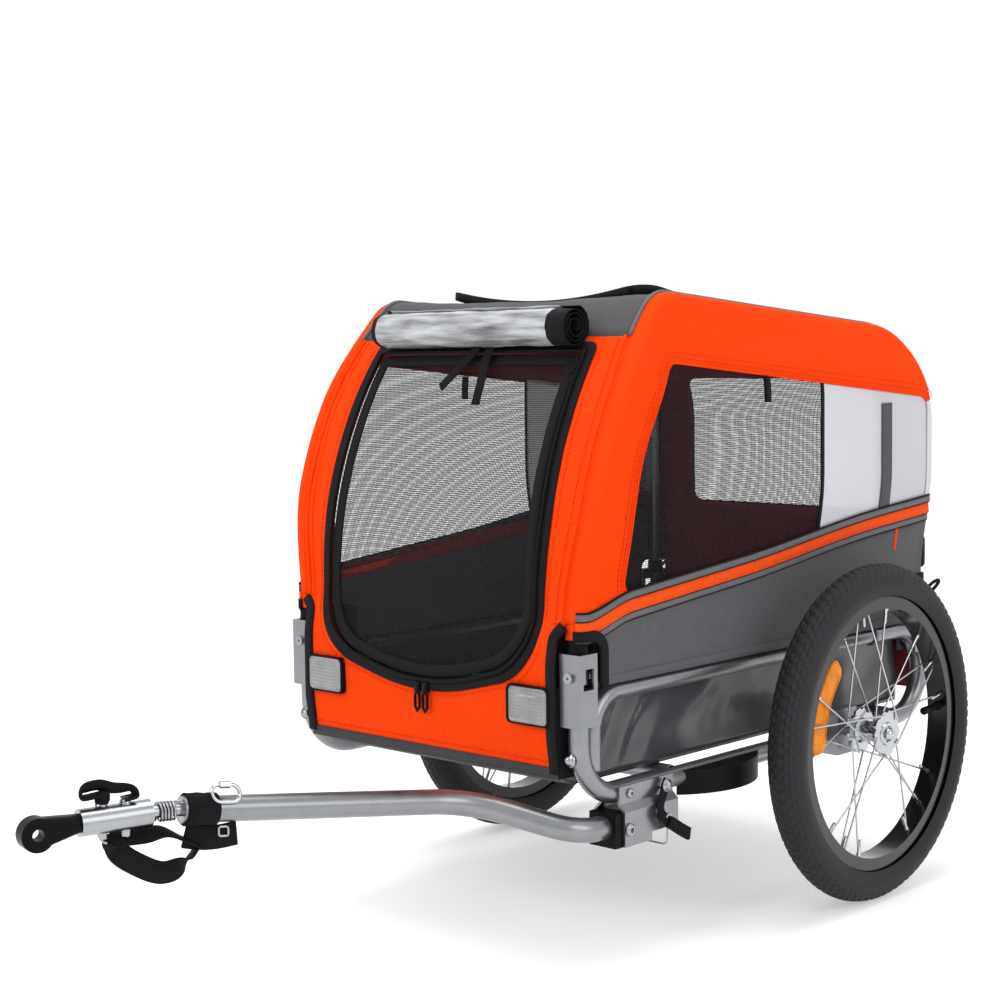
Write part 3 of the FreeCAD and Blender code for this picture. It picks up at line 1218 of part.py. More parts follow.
failed = [item.Label for item in doc.Objects if {"Invalid", "Error"} & set(item.State)]
broken = [item.Label for item in nodes if item.Shape.isNull() or not item.Shape.isValid()]
if failed or broken:
    raise RuntimeError(f"failed objects {failed}, broken sub-parts {broken}")

os.makedirs("parts", exist_ok=True)
for item in nodes:
    item.Shape.exportStep(f"parts/{item.Label}.step")
print(len(nodes), "sub-parts")
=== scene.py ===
"""A two-wheeled dog trailer for a bicycle, dressed on its CAD frame for rendering."""

import bisect
import logging
import math
from dataclasses import dataclass, field
from enum import Enum
from itertools import accumulate
from typing import Callable, ClassVar, Optional, Sequence

import bpy
from mathutils import Matrix, Vector, noise


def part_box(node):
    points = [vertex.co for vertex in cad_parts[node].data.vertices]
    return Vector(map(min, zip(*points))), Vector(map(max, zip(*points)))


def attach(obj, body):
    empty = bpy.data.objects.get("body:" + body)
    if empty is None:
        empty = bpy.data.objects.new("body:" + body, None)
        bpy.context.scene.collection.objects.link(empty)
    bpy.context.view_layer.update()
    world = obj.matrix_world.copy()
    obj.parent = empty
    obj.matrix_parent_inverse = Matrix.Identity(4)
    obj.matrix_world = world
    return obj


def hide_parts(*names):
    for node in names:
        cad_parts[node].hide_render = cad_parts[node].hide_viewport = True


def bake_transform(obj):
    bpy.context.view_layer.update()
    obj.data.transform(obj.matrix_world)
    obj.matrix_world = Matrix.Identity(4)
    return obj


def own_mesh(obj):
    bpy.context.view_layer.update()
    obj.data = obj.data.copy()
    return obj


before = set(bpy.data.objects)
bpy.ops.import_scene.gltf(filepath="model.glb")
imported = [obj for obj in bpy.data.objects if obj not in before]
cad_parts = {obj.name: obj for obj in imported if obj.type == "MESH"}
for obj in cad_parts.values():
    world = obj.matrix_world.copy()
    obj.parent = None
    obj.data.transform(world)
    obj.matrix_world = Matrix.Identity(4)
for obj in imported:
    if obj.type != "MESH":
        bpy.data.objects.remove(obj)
LOG = logging.getLogger("trailer")
MM = 0.001
BAND = 0.31416
UP = Vector((0.0, 0.0, 1.0))
DOWN = Vector((0.0, 0.0, -1.0))
FRONT = Vector((0.0, -1.0, 0.0))
BACK = Vector((0.0, 1.0, 0.0))
ACROSS = Vector((1.0, 0.0, 0.0))
ARCHES = ("arch_left", "arch_right")
WHEEL_AT = (0.283, 0.369, 0.198)

Pair = tuple[float, float]
Corner = tuple[float, float, float]
Line = tuple[list[Vector], list[Vector]]
Place = Callable[[float, float, float], Vector]
Socket = bpy.types.NodeSocket
Tree = bpy.types.NodeTree
Piece = bpy.types.Object


class Side(Enum):
    """Which side of the trailer a mirrored piece is on."""

    LEFT = 1.0
    RIGHT = -1.0

    @property
    def word(self) -> str:
        """The side's name as it is used in piece names."""
        return self.name.lower()

    @property
    def out(self) -> Vector:
        """The way that the side looks."""
        return Vector((self.value, 0.0, 0.0))


class Pattern(Enum):
    """The surface pattern that a finish draws."""

    GRAIN = "grain"
    WEAVE = "weave"
    NET = "net"
    CRINKLE = "crinkle"
    PRISM = "prism"
    BRUSHED = "brushed"
    # On the rolled film these streaks along X are painted highlights and painted reflections in its colour.
    PAINTED_REFLECTION_STREAK = "painted_reflection_streak"


def linear(code: str) -> Corner:
    """Turns a six-digit screen colour into linear values.

    Args:
        code: The colour as hexadecimal digits.

    Returns:
        Red, green and blue in linear light.
    """
    shares = [int(code[k:k + 2], 16) / 255.0 for k in (0, 2, 4)]
    red, green, blue = [c / 12.92 if c <= 0.04045 else ((c + 0.055) / 1.055) ** 2.4 for c in shares]
    return red, green, blue


def plug(tree: Tree, node: bpy.types.Node, sockets: dict[str, object]) -> None:
    """Sets a node's inputs.

    Args:
        tree: The node tree.
        node: The node.
        sockets: For each input a constant, or an output that is linked to it.
    """
    for name, value in sockets.items():
        if isinstance(value, Socket):
            tree.links.new(value, node.inputs[name])
        else:
            node.inputs[name].default_value = value


def add_node(tree: Tree, kind: str, sockets: dict[str, object]) -> bpy.types.Node:
    """Adds a shader node.

    Args:
        tree: The node tree.
        kind: The node's type, without the beginning that all share.
        sockets: For each input a constant, or an output that is linked to it.

    Returns:
        The node.
    """
    made = tree.nodes.new(f"ShaderNode{kind}")
    plug(tree, made, sockets)
    return made


def combine(tree: Tree, operation: str, first: Socket, second: Socket) -> Socket:
    """Combines two values by arithmetic.

    Args:
        tree: The node tree.
        operation: What is done with them.
        first: One value.
        second: The other.

    Returns:
        The result.
    """
    made = tree.nodes.new("ShaderNodeMath")
    made.operation = operation
    tree.links.new(first, made.inputs[0])
    tree.links.new(second, made.inputs[1])
    return made.outputs["Value"]


@dataclass(frozen=True)
class Finish:
    """A procedural surface: a base colour, how it varies, and how it takes light."""

    name: str
    code: str
    roughness: float
    metallic: float = 0.0
    pattern: Pattern = Pattern.GRAIN
    scale: float = 60.0
    contrast: float = 0.12
    bump: float = 0.15
    coat: float = 0.0
    alpha: float = 1.0
    shine: float = 0.5

    def material(self) -> bpy.types.Material:
        """Makes the material, or returns it if it was made before.

        Returns:
            The Blender material of this finish.
        """
        label = f"{self.name}_finish"
        made = bpy.data.materials.get(label)
        if made is not None:
            return made
        made = bpy.data.materials.new(label)
        made.use_nodes = True
        tree = made.node_tree
        where = tree.nodes.new("ShaderNodeTexCoord").outputs
        broad = self._noise(tree, where["Object"], self.scale * 0.25, 4.0)
        # The ramp lightens and darkens the base colour by the contrast; on the rolled film this is painted highlight
        # and painted reflection.
        ramp = add_node(tree, "ValToRGB", {"Fac": broad})
        for stop, at, change in zip(ramp.color_ramp.elements, (0.3, 0.7), (-self.contrast, self.contrast)):
            stop.position = at
            stop.color = (*(min(1.0, c * (1.0 + change)) for c in linear(self.code)), 1.0)
        worn = add_node(tree, "MapRange", {"Value": broad, "To Min": max(0.02, self.roughness * 0.8),
                                           "To Max": min(1.0, self.roughness * 1.2)})
        relief = add_node(tree, "Bump", {"Strength": self.bump, "Distance": MM, "Height": self._height(tree, where)})
        net = self.pattern is Pattern.NET
        plug(tree, tree.nodes["Principled BSDF"], {
            "Base Color": ramp.outputs["Color"], "Roughness": worn.outputs["Result"],
            "Normal": relief.outputs["Normal"], "Metallic": self.metallic, "Coat Weight": self.coat,
            "Coat Roughness": 0.12, "Specular IOR Level": self.shine, "IOR": 1.45,
            "Alpha": self._holes(tree, where["UV"]) if net else self.alpha})
        return made

    def _noise(self, tree: Tree, where: Socket, scale: float, detail: float, distortion: float = 0.0) -> Socket:
        """Adds a noise texture.

        Args:
            tree: The material's node tree.
            where: The coordinates.
            scale: The noise's scale.
            detail: The noise's detail.
            distortion: How far it is distorted.

        Returns:
            The noise.
        """
        # Stretched along X, the noise draws streaks; on the rolled film they are painted highlights and painted
        # reflections.
        if self.pattern is Pattern.PAINTED_REFLECTION_STREAK:
            where = add_node(tree, "Mapping", {"Vector": where, "Scale": (0.14, 1.0, 1.0)}).outputs["Vector"]
        made = add_node(tree, "TexNoise", {"Vector": where, "Scale": scale, "Detail": detail,
                                           "Distortion": distortion})
        return made.outputs["Fac"]

    def _threads(self, tree: Tree, where: Socket, operation: str) -> Socket:
        """Draws threads both ways, as many a metre as the finish's scale.

        Args:
            tree: The material's node tree.
            where: The flat coordinates.
            operation: How the two directions are combined.

        Returns:
            The threads' height.
        """
        ways = []
        for axis in "XY":
            bands = add_node(tree, "TexWave", {"Vector": where, "Scale": BAND * self.scale})
            bands.bands_direction = axis
            ways.append(bands.outputs["Fac"])
        return combine(tree, operation, *ways)

    def _height(self, tree: Tree, where: dict[str, Socket]) -> Socket:
        """Draws the relief of the pattern.

        Args:
            tree: The material's node tree.
            where: The coordinates' outputs.

        Returns:
            The height.
        """
        spot = where["Object"]
        if self.pattern in (Pattern.WEAVE, Pattern.NET):
            return self._threads(tree, where["UV"], "MULTIPLY")
        if self.pattern is Pattern.PRISM:
            cells = add_node(tree, "TexVoronoi", {"Vector": spot, "Scale": self.scale, "Randomness": 0.0})
            cells.distance = "MANHATTAN"
            return cells.outputs["Distance"]
        if self.pattern is Pattern.BRUSHED:
            pulled = add_node(tree, "Mapping", {"Vector": spot, "Scale": (1.0, 1.0, 12.0)})
            return self._noise(tree, pulled.outputs["Vector"], self.scale * 4.0, 2.0)
        if self.pattern is Pattern.CRINKLE:
            return self._noise(tree, spot, self.scale, 8.0, 1.6)
        return self._noise(tree, spot, self.scale, 3.0)

    def _holes(self, tree: Tree, where: Socket) -> Socket:
        """Opens the holes of a net between its threads.

        Args:
            tree: The material's node tree.
            where: The flat coordinates.

        Returns:
            How solid the net is.
        """
        soft = 0.08
        made = add_node(tree, "MapRange", {"Value": self._threads(tree, where, "MAXIMUM"),
                                           "From Min": self.alpha - soft, "From Max": self.alpha + soft})
        return made.outputs["Result"]


def woven(name: str, code: str, roughness: float, scale: float, contrast: float, bump: float,
          shine: float) -> Finish:
    """A woven finish; the arguments are the fields of the finish."""
    return Finish(name, code, roughness, 0.0, Pattern.WEAVE, scale, contrast, bump, shine=shine)


ORANGE = woven("orange_cloth", "fa4406", 0.75, 900.0, 0.06, 0.25, 0.08)
LINING = woven("red_lining", "9c3a3e", 0.8, 700.0, 0.1, 0.2, 0.15)
ROOF_GREY = woven("roof_cloth", "535356", 0.65, 800.0, 0.1, 0.3, 0.2)
SKIRT_GREY = woven("skirt_cloth", "59585c", 0.65, 800.0, 0.1, 0.3, 0.25)
PIPING_GREY = woven("grey_piping", "656467", 0.5, 700.0, 0.12, 0.2, 0.3)
STRIPE_ORANGE = woven("orange_piping", "f4500c", 0.6, 700.0, 0.08, 0.2, 0.15)
HATCH_GREY = woven("hatch_cloth", "3d3d40", 0.6, 800.0, 0.12, 0.3, 0.2)
WEBBING = woven("black_webbing", "18171a", 0.75, 420.0, 0.2, 0.5, 0.12)
BINDING = woven("black_binding", "18171a", 0.7, 600.0, 0.2, 0.4, 0.14)
NET = Finish("black_net", "1e1c21", 0.7, 0.0, Pattern.NET, 450.0, 0.2, 0.1, alpha=0.84, shine=0.2)
FILM = Finish("clear_film", "d2d1d8", 0.12, 0.0, Pattern.CRINKLE, 14.0, 0.04, 0.1, alpha=0.9)
FILM_EDGE = Finish("film_edge", "d2d1d8", 0.2, 0.0, Pattern.CRINKLE, 14.0, 0.04, 0.1)
# Painted reflection: the rolled film's strong light and dark streaks stand for highlights and reflections on clear
# film.
ROLL_FILM = Finish("rolled_film", "a3a5a8", 0.08, 0.0, Pattern.PAINTED_REFLECTION_STREAK, 420.0, 0.75, 0.9, coat=0.5)
VINYL = Finish("tub_vinyl", "414045", 0.27, 0.0, Pattern.CRINKLE, 26.0, 0.15, 0.3, coat=0.3)
THREAD = Finish("orange_thread", "ee4407", 0.7, scale=500.0, contrast=0.15, shine=0.15)
PAINT = Finish("silver_paint", "87898c", 0.3, 0.85, scale=240.0, contrast=0.06, bump=0.05, coat=0.2)
STEEL = Finish("bright_steel", "999b9e", 0.24, 1.0, Pattern.BRUSHED, 90.0, 0.08, 0.06)
CHROME = Finish("chrome", "b4b6b9", 0.1, 1.0, scale=120.0, contrast=0.05, bump=0.03)
BLACK_STEEL = Finish("black_steel", "0c0c0e", 0.35, scale=150.0, contrast=0.2, bump=0.1, shine=0.1)
BOARD = Finish("floor_board", "222123", 0.7, scale=50.0, contrast=0.2, bump=0.3, shine=0.2)
PLASTIC = Finish("black_plastic", "0e0e10", 0.45, scale=300.0, contrast=0.15, bump=0.15, shine=0.1)
GREY_LENS = Finish("grey_lens", "8c8c8e", 0.16, 0.35, Pattern.PRISM, 260.0, 0.15, 0.8, coat=0.6)
RED_LENS = Finish("red_lens", "6d1416", 0.15, 0.0, Pattern.PRISM, 260.0, 0.15, 0.8, coat=0.6)
AMBER_LENS = Finish("amber_lens", "e88400", 0.2, 0.0, Pattern.PRISM, 240.0, 0.2, 0.5, coat=0.1, shine=0.12)
TYRE = Finish("tyre_rubber", "27272b", 0.6, scale=160.0, contrast=0.14, bump=0.3, shine=0.25)
RIM = Finish("rim_black", "101012", 0.22, 0.2, scale=90.0, contrast=0.15, bump=0.05, coat=0.3)


def between(at: float, steps: Sequence[Pair]) -> float:
    """Reads a value off a soft line through steps.

    Args:
        at: Where to read it.
        steps: Places and values, in order.

    Returns:
        The value there.
    """
    if at <= steps[0][0]:
        return steps[0][1]
    for (start, low), (end, high) in zip(steps, steps[1:]):
        if at <= end:
            share = (at - start) / (end - start)
            return low + (high - low) * share * share * (3.0 - 2.0 * share)
    return steps[-1][1]


def ripple(point: Vector, amount: float, wave: float) -> float:
    """A soft wrinkle at a point of the cloth.

    Args:
        point: Where the cloth is.
        amount: The wrinkle's height.
        wave: The wrinkle's length.

    Returns:
        How far the cloth stands out there.
    """
    fine = noise.noise(point * 2.3 / wave + Vector((7.0, 3.0, 1.0)))
    return amount * (noise.noise(point / wave) + 0.5 * fine)


def turns(count: int) -> list[float]:
    """Even angles round a circle."""
    return [math.tau * k / count for k in range(count)]


def lengths(path: Sequence[Vector]) -> list[float]:
    """The distance along a path at each of its points."""
    return list(accumulate(((b - a).length for a, b in zip(path, path[1:])), initial=0.0))


def rounded(corners: Sequence[Corner], closed: bool, step: float = 0.006) -> list[Pair]:
    """Rounds the corners of a line and samples it evenly.

    Args:
        corners: Points as (a, b, radius) in metres.
        closed: Whether the line comes back to its start.
        step: The longest distance between samples.

    Returns:
        The samples, in order.
    """
    count = len(corners)
    anchors: list[Pair] = []
    for k, (a, b, radius) in enumerate(corners):
        here = Vector((a, b))
        if radius <= 0.0 or (not closed and k in (0, count - 1)):
            anchors.append((a, b))
            continue
        back = (Vector(corners[k - 1][:2]) - here).normalized()
        on = (Vector(corners[(k + 1) % count][:2]) - here).normalized()
        half = back.angle(on) / 2.0
        reach = radius / math.tan(half)
        centre = here + (back + on).normalized() * (radius / math.sin(half))
        first = here + back * reach - centre
        last = here + on * reach - centre
        turn = math.atan2(first.x * last.y - first.y * last.x, first.dot(last))
        pieces = max(3, math.ceil(abs(turn) * radius / step))
        for i in range(pieces + 1):
            spun = Matrix.Rotation(turn * i / pieces, 2) @ first
            anchors.append((centre.x + spun.x, centre.y + spun.y))
    if closed:
        anchors.append(anchors[0])
    line: list[Pair] = [anchors[0]]
    for old, new in zip(anchors, anchors[1:]):
        gap = math.dist(old, new)
        if gap < 1e-7:
            continue
        pieces = max(1, math.ceil(gap / step))
        line += [(old[0] + (new[0] - old[0]) * i / pieces, old[1] + (new[1] - old[1]) * i / pieces)
                 for i in range(1, pieces + 1)]
    return line[:-1] if closed else line


def oblong(low: Pair, high: Pair, radius: float, step: float = 0.006) -> list[Pair]:
    """Samples an oblong with rounded corners.

    Args:
        low: One corner.
        high: The corner across from it.
        radius: The rounding.
        step: The longest distance between samples.

    Returns:
        The samples, in order.
    """
    (a, b), (c, d) = low, high
    return rounded([(a, b, radius), (c, b, radius), (c, d, radius), (a, d, radius)], True, step)


def ray_to(outline: Sequence[Pair], centre: Pair, target: Pair) -> Pair:
    """Finds where the line from a centre towards a target crosses an outline.

    Args:
        outline: A closed outline round the centre.
        centre: The start of the line.
        target: A point that the line goes towards.

    Returns:
        The farthest crossing.
    """
    dx, dy = target[0] - centre[0], target[1] - centre[1]
    best = 0.0
    for (ax, ay), (bx, by) in zip(outline, list(outline[1:]) + [outline[0]]):
        ex, ey = bx - ax, by - ay
        det = ex * dy - dx * ey
        if abs(det) < 1e-14:
            continue
        t = (ex * (ay - centre[1]) - ey * (ax - centre[0])) / det
        u = (dx * (ay - centre[1]) - dy * (ax - centre[0])) / det
        if -1e-9 <= u <= 1.0 + 1e-9 and t > best:
            best = t
    return centre[0] + dx * best, centre[1] + dy * best


@dataclass
class Skin:
    """A mesh being put together: points, faces, texture places and a finish for each face."""

    points: list[Vector] = field(default_factory=list)
    faces: list[tuple[int, ...]] = field(default_factory=list)
    places: list[Pair] = field(default_factory=list)
    tints: list[int] = field(default_factory=list)

    def add(self, point: Vector, place: Pair) -> int:
        """Adds a point.

        Args:
            point: Where it is, in metres.
            place: Its texture place.

        Returns:
            Its number.
        """
        self.points.append(point)
        self.places.append(place)
        return len(self.points) - 1

    def face(self, *corners: int, tint: int = 0) -> None:
        """Adds a face between points that were added before."""
        self.faces.append(corners)
        self.tints.append(tint)

    def strip(self, first: Sequence[int], second: Sequence[int], loop: bool, tint: int = 0) -> None:
        """Joins two rows of points with faces.

        Args:
            first: The numbers of one row.
            second: The numbers of the other, as many.
            loop: Whether the rows come back to their start.
            tint: The number of the faces' finish.
        """
        count = len(first)
        for k in range(count if loop else count - 1):
            j = (k + 1) % count
            self.face(first[k], first[j], second[j], second[k], tint=tint)

    def join(self, rows: list[list[int]], loop: bool = False, closed: bool = False) -> None:
        """Joins each row of points to the next.

        Args:
            rows: The numbers of the rows.
            loop: Whether each row comes back to its start.
            closed: Whether the last row is joined to the first.
        """
        for old, new in zip(rows, rows[1:] + rows[:1] if closed else rows[1:]):
            self.strip(old, new, loop)

    def middle(self, corners: Sequence[int]) -> Vector:
        """The middle of a face."""
        return sum((self.points[k] for k in corners), Vector()) / len(corners)

    def part(self, keep: Callable[[Vector], bool]) -> "Skin":
        """Takes some of the faces, with only the points that they use.

        Args:
            keep: Whether a face is taken, by its middle.

        Returns:
            The new skin.
        """
        faces = [corners for corners in self.faces if keep(self.middle(corners))]
        used = sorted({k for corners in faces for k in corners})
        at = {old: new for new, old in enumerate(used)}
        return Skin([self.points[k] for k in used], [tuple(at[k] for k in corners) for corners in faces],
                    [self.places[k] for k in used], [0] * len(faces))

    def piece(self, name: str, *finishes: Finish, outward: Optional[Vector] = None, smooth: bool = True) -> Piece:
        """Makes the object.

        Args:
            name: The piece's name.
            finishes: What it is made of; face tints number them.
            outward: If given, faces are turned to look this way on the whole.
            smooth: Whether the faces are shaded as one curved surface.

        Returns:
            The new object, in the scene.
        """
        mesh = bpy.data.meshes.new(name)
        mesh.from_pydata(self.points, [], self.faces)
        layer = mesh.uv_layers.new(name="cut")
        for loop in mesh.loops:
            layer.data[loop.index].uv = self.places[loop.vertex_index]
        for finish in finishes:
            mesh.materials.append(finish.material())
        for polygon, tint in zip(mesh.polygons, self.tints):
            polygon.material_index = tint
            polygon.use_smooth = smooth
        if outward is not None:
            total = sum((p.normal * p.area for p in mesh.polygons), Vector())
            if total.dot(outward) < 0.0:
                mesh.flip_normals()
        mesh.update()
        made = bpy.data.objects.new(name, mesh)
        bpy.context.scene.collection.objects.link(made)
        LOG.info("made %s with %d faces", name, len(self.faces))
        return made


def ring_skin(outer: Sequence[Pair], inner: Optional[Sequence[Pair]], count: int, place: Place) -> Skin:
    """Fills the space between an outline and an opening in it, or the whole outline.

    Args:
        outer: The outline's samples.
        inner: The opening's samples, or nothing for a full panel.
        count: How many rows of faces there are from the outline inwards.
        place: Where a flat point goes in space, with its share of the way in.

    Returns:
        The skin.
    """
    middle = inner or outer
    centre = (sum(p[0] for p in middle) / len(middle), sum(p[1] for p in middle) / len(middle))
    skin = Skin()
    rows = []
    ends = [ray_to(inner, centre, p) if inner else centre for p in outer]
    for t in (row / count for row in range(count + 1 if inner else count)):
        spots = [(a + (c - a) * t, b + (d - b) * t) for (a, b), (c, d) in zip(outer, ends)]
        rows.append([skin.add(place(*spot, t), spot) for spot in spots])
    skin.join(rows, True)
    if not inner:
        tip = skin.add(place(*centre, 1.0), centre)
        for old, new in zip(rows[-1], rows[-1][1:] + rows[-1][:1]):
            skin.face(old, new, tip)
    return skin


def directions(path: Sequence[Vector], closed: bool = False) -> list[Vector]:
    """Works out the heading at each point of a path.

    Args:
        path: The points.
        closed: Whether it comes back to its start.

    Returns:
        Unit vectors, one for each point.
    """
    before = [path[-1] if closed else path[0], *path[:-1]]
    after = [*path[1:], path[0] if closed else path[-1]]
    return [(b - a).normalized() for a, b in zip(before, after)]


def sweep(skin: Skin, rows: list[list[int]], closed: bool) -> Skin:
    """Joins the sections of a swept shape, and closes its ends.

    Args:
        skin: The skin with the sections' points.
        rows: The numbers of each section.
        closed: Whether the shape comes back to its start.

    Returns:
        The skin.
    """
    skin.join(rows, True, closed)
    if not closed:
        skin.face(*reversed(rows[0]))
        skin.face(*rows[-1])
    return skin


def ribbon_skin(path: Sequence[Vector], normals: Sequence[Vector], width: float, thick: float,
                closed: bool = False, skin: Optional[Skin] = None) -> Skin:
    """Lays a flat tape along a path, with softly rounded edges.

    Args:
        path: The tape's middle line.
        normals: Which way its face looks at each point.
        width: The tape's width.
        thick: The tape's thickness.
        closed: Whether it comes back to its start.
        skin: A skin to add to, if there is one.

    Returns:
        The skin.
    """
    skin = skin or Skin()
    section = [(-0.5, 0.0), (-0.46, 0.5), (0.46, 0.5), (0.5, 0.0), (0.46, -0.5), (-0.46, -0.5)]
    rows = []
    for point, run, along, face in zip(path, lengths(path), directions(path, closed), normals):
        across = along.cross(face).normalized()
        up = across.cross(along).normalized()
        rows.append([skin.add(point + across * (a * width) + up * (b * thick), (a * width + b * thick, run))
                     for a, b in section])
    return sweep(skin, rows, closed)


def tube_skin(path: Sequence[Vector], radius: float, closed: bool = False, sides: int = 8,
              skin: Optional[Skin] = None) -> Skin:
    """Sweeps a round section along a path.

    Args:
        path: The middle line.
        radius: The section's radius.
        closed: Whether it comes back to its start.
        sides: How many sides the section has.
        skin: A skin to add to, if there is one.

    Returns:
        The skin.
    """
    skin = skin or Skin()
    heads = directions(path, closed)
    side = ACROSS if abs(heads[0].dot(UP)) > 0.9 else UP
    rows = []
    for point, run, along in zip(path, lengths(path), heads):
        side = (side - along * side.dot(along)).normalized()
        other = along.cross(side)
        rows.append([skin.add(point + (side * math.cos(t) + other * math.sin(t)) * radius, (t * radius, run))
                     for t in turns(sides)])
    return sweep(skin, rows, closed)


def lathe_skin(section: Sequence[Pair], centre: Vector, axis: Vector, sides: int = 48,
               wave: Optional[Callable[[float, int], float]] = None, skin: Optional[Skin] = None,
               loop: bool = False) -> Skin:
    """Turns a section round an axis.

    Args:
        section: Points as (radius, distance along the axis).
        centre: A point on the axis.
        axis: The axis.
        sides: How many steps a turn has.
        wave: What is added to the radius at an angle and section point, if anything.
        skin: A skin to add to, if there is one.
        loop: Whether the section comes back to its start.

    Returns:
        The skin.
    """
    skin = skin or Skin()
    axis = axis.normalized()
    first = UP if abs(axis.x) > 0.9 else axis.orthogonal().normalized()
    second = axis.cross(first)
    rows = []
    for t in turns(sides):
        out = first * math.cos(t) + second * math.sin(t)
        rows.append([skin.add(centre + axis * d + out * (r + (wave(t, k) if wave else 0.0)), (t * 0.2, d))
                     for k, (r, d) in enumerate(section)])
    skin.join(rows, loop, True)
    return skin


def shell_skin(outline: Sequence[Pair], levels: Sequence[tuple[float, float, int]], place: Place) -> Skin:
    """Stacks an outline, made smaller and lifted level by level.

    Args:
        outline: The outline's samples.
        levels: For each level its size, its height and the finish of the faces that lead to it.
        place: Where a flat point at a height goes in space.

    Returns:
        The skin.
    """
    skin = Skin()
    last: list[int] = []
    for share, height, tint in levels:
        now = [skin.add(place(a * share, b * share, height), (a, b)) for a, b in outline]
        if last:
            skin.strip(last, now, True, tint)
        last = now
    return skin


def stitch_skin(path: Sequence[Vector], normals: Sequence[Vector], pitch: float = 0.0055, length: float = 0.0036,
                radius: float = 0.00055) -> Skin:
    """Sews a row of stitches along a path.

    Args:
        path: The seam's points.
        normals: Which way the cloth looks at each point.
        pitch: The distance from stitch to stitch.
        length: The length of a stitch.
        radius: The thread's radius.

    Returns:
        The skin of all the stitches.
    """
    skin = Skin()
    run, due = 0.0, 0.0
    for old, new, normal in zip(path, path[1:], normals[1:]):
        gap = (new - old).length
        while gap > 1e-9 and run + gap >= due:
            along = (new - old) / gap
            here = old.lerp(new, (due - run) / gap) + normal * radius
            tube_skin([here - along * length / 2, here + normal * radius, here + along * length / 2], radius,
                      sides=5, skin=skin)
            due += pitch
        run += gap
    return skin


def smooth_path(points: Sequence[Vector], steps: int = 8) -> list[Vector]:
    """Runs a soft curve through points.

    Args:
        points: The points that it passes.
        steps: How many samples there are between two points.

    Returns:
        The samples.
    """
    whole = [points[0] * 2 - points[1], *points, points[-1] * 2 - points[-2]]
    path = []
    for a, b, c, d in zip(whole, whole[1:], whole[2:], whole[3:]):
        for t in (k / steps for k in range(steps)):
            path.append(0.5 * (2 * b + (c - a) * t + (2 * a - 5 * b + 4 * c - d) * t * t
                               + (3 * b - a - 3 * c + d) * t ** 3))
    return path + [points[-1]]


@dataclass(frozen=True)
class CabinShape:
    """The cabin's side outline and its widths, as the frame's arches set them."""

    front: float = -0.080
    rear: float = 0.590
    hem: float = 0.212
    lean: Corner = (-0.080, 0.564, 0.450)
    brow: Corner = (0.0626, 0.7097, 0.040)
    crown: Corner = (0.590, 0.666, 0.128)
    half: float = 0.218
    bend: float = 0.010
    seam: float = 0.198
    roof_low: float = 0.6

    def line(self, step: float) -> list[Vector]:
        """Samples the outline from the front hem over the roof to the rear hem.

        Args:
            step: The distance between samples.

        Returns:
            The samples, in the trailer's middle plane.
        """
        base = rounded([(self.front, self.hem, 0.0), self.lean, self.brow, self.crown,
                        (self.rear, self.hem, 0.0)], False, step)
        return [Vector((0.0, y - self.bow(z) if y < 0.0 else y, z)) for y, z in base]

    def swell(self, height: float) -> float:
        """How far the sides stand out past the arches at a height."""
        return between(height, ((0.36, 0.0), (0.50, 0.015), (0.59, 0.015), (0.70, 0.003)))

    def bow(self, height: float) -> float:
        """How far the loose lower front stands forward at a height."""
        return between(height, ((0.21, 0.005), (0.26, 0.010), (0.32, 0.010), (0.385, 0.0)))

    def wide(self, height: float) -> float:
        """Half the cabin's width at a height."""
        return self.half + self.swell(height)

    def sag(self, x: float, y: float) -> float:
        """How far the roof hangs between the arches at a place."""
        depth = between(y, ((0.02, 0.0), (0.10, 0.006), (0.40, 0.006), (0.52, 0.0)))
        return depth * max(0.0, 1.0 - (x / self.seam) ** 2)


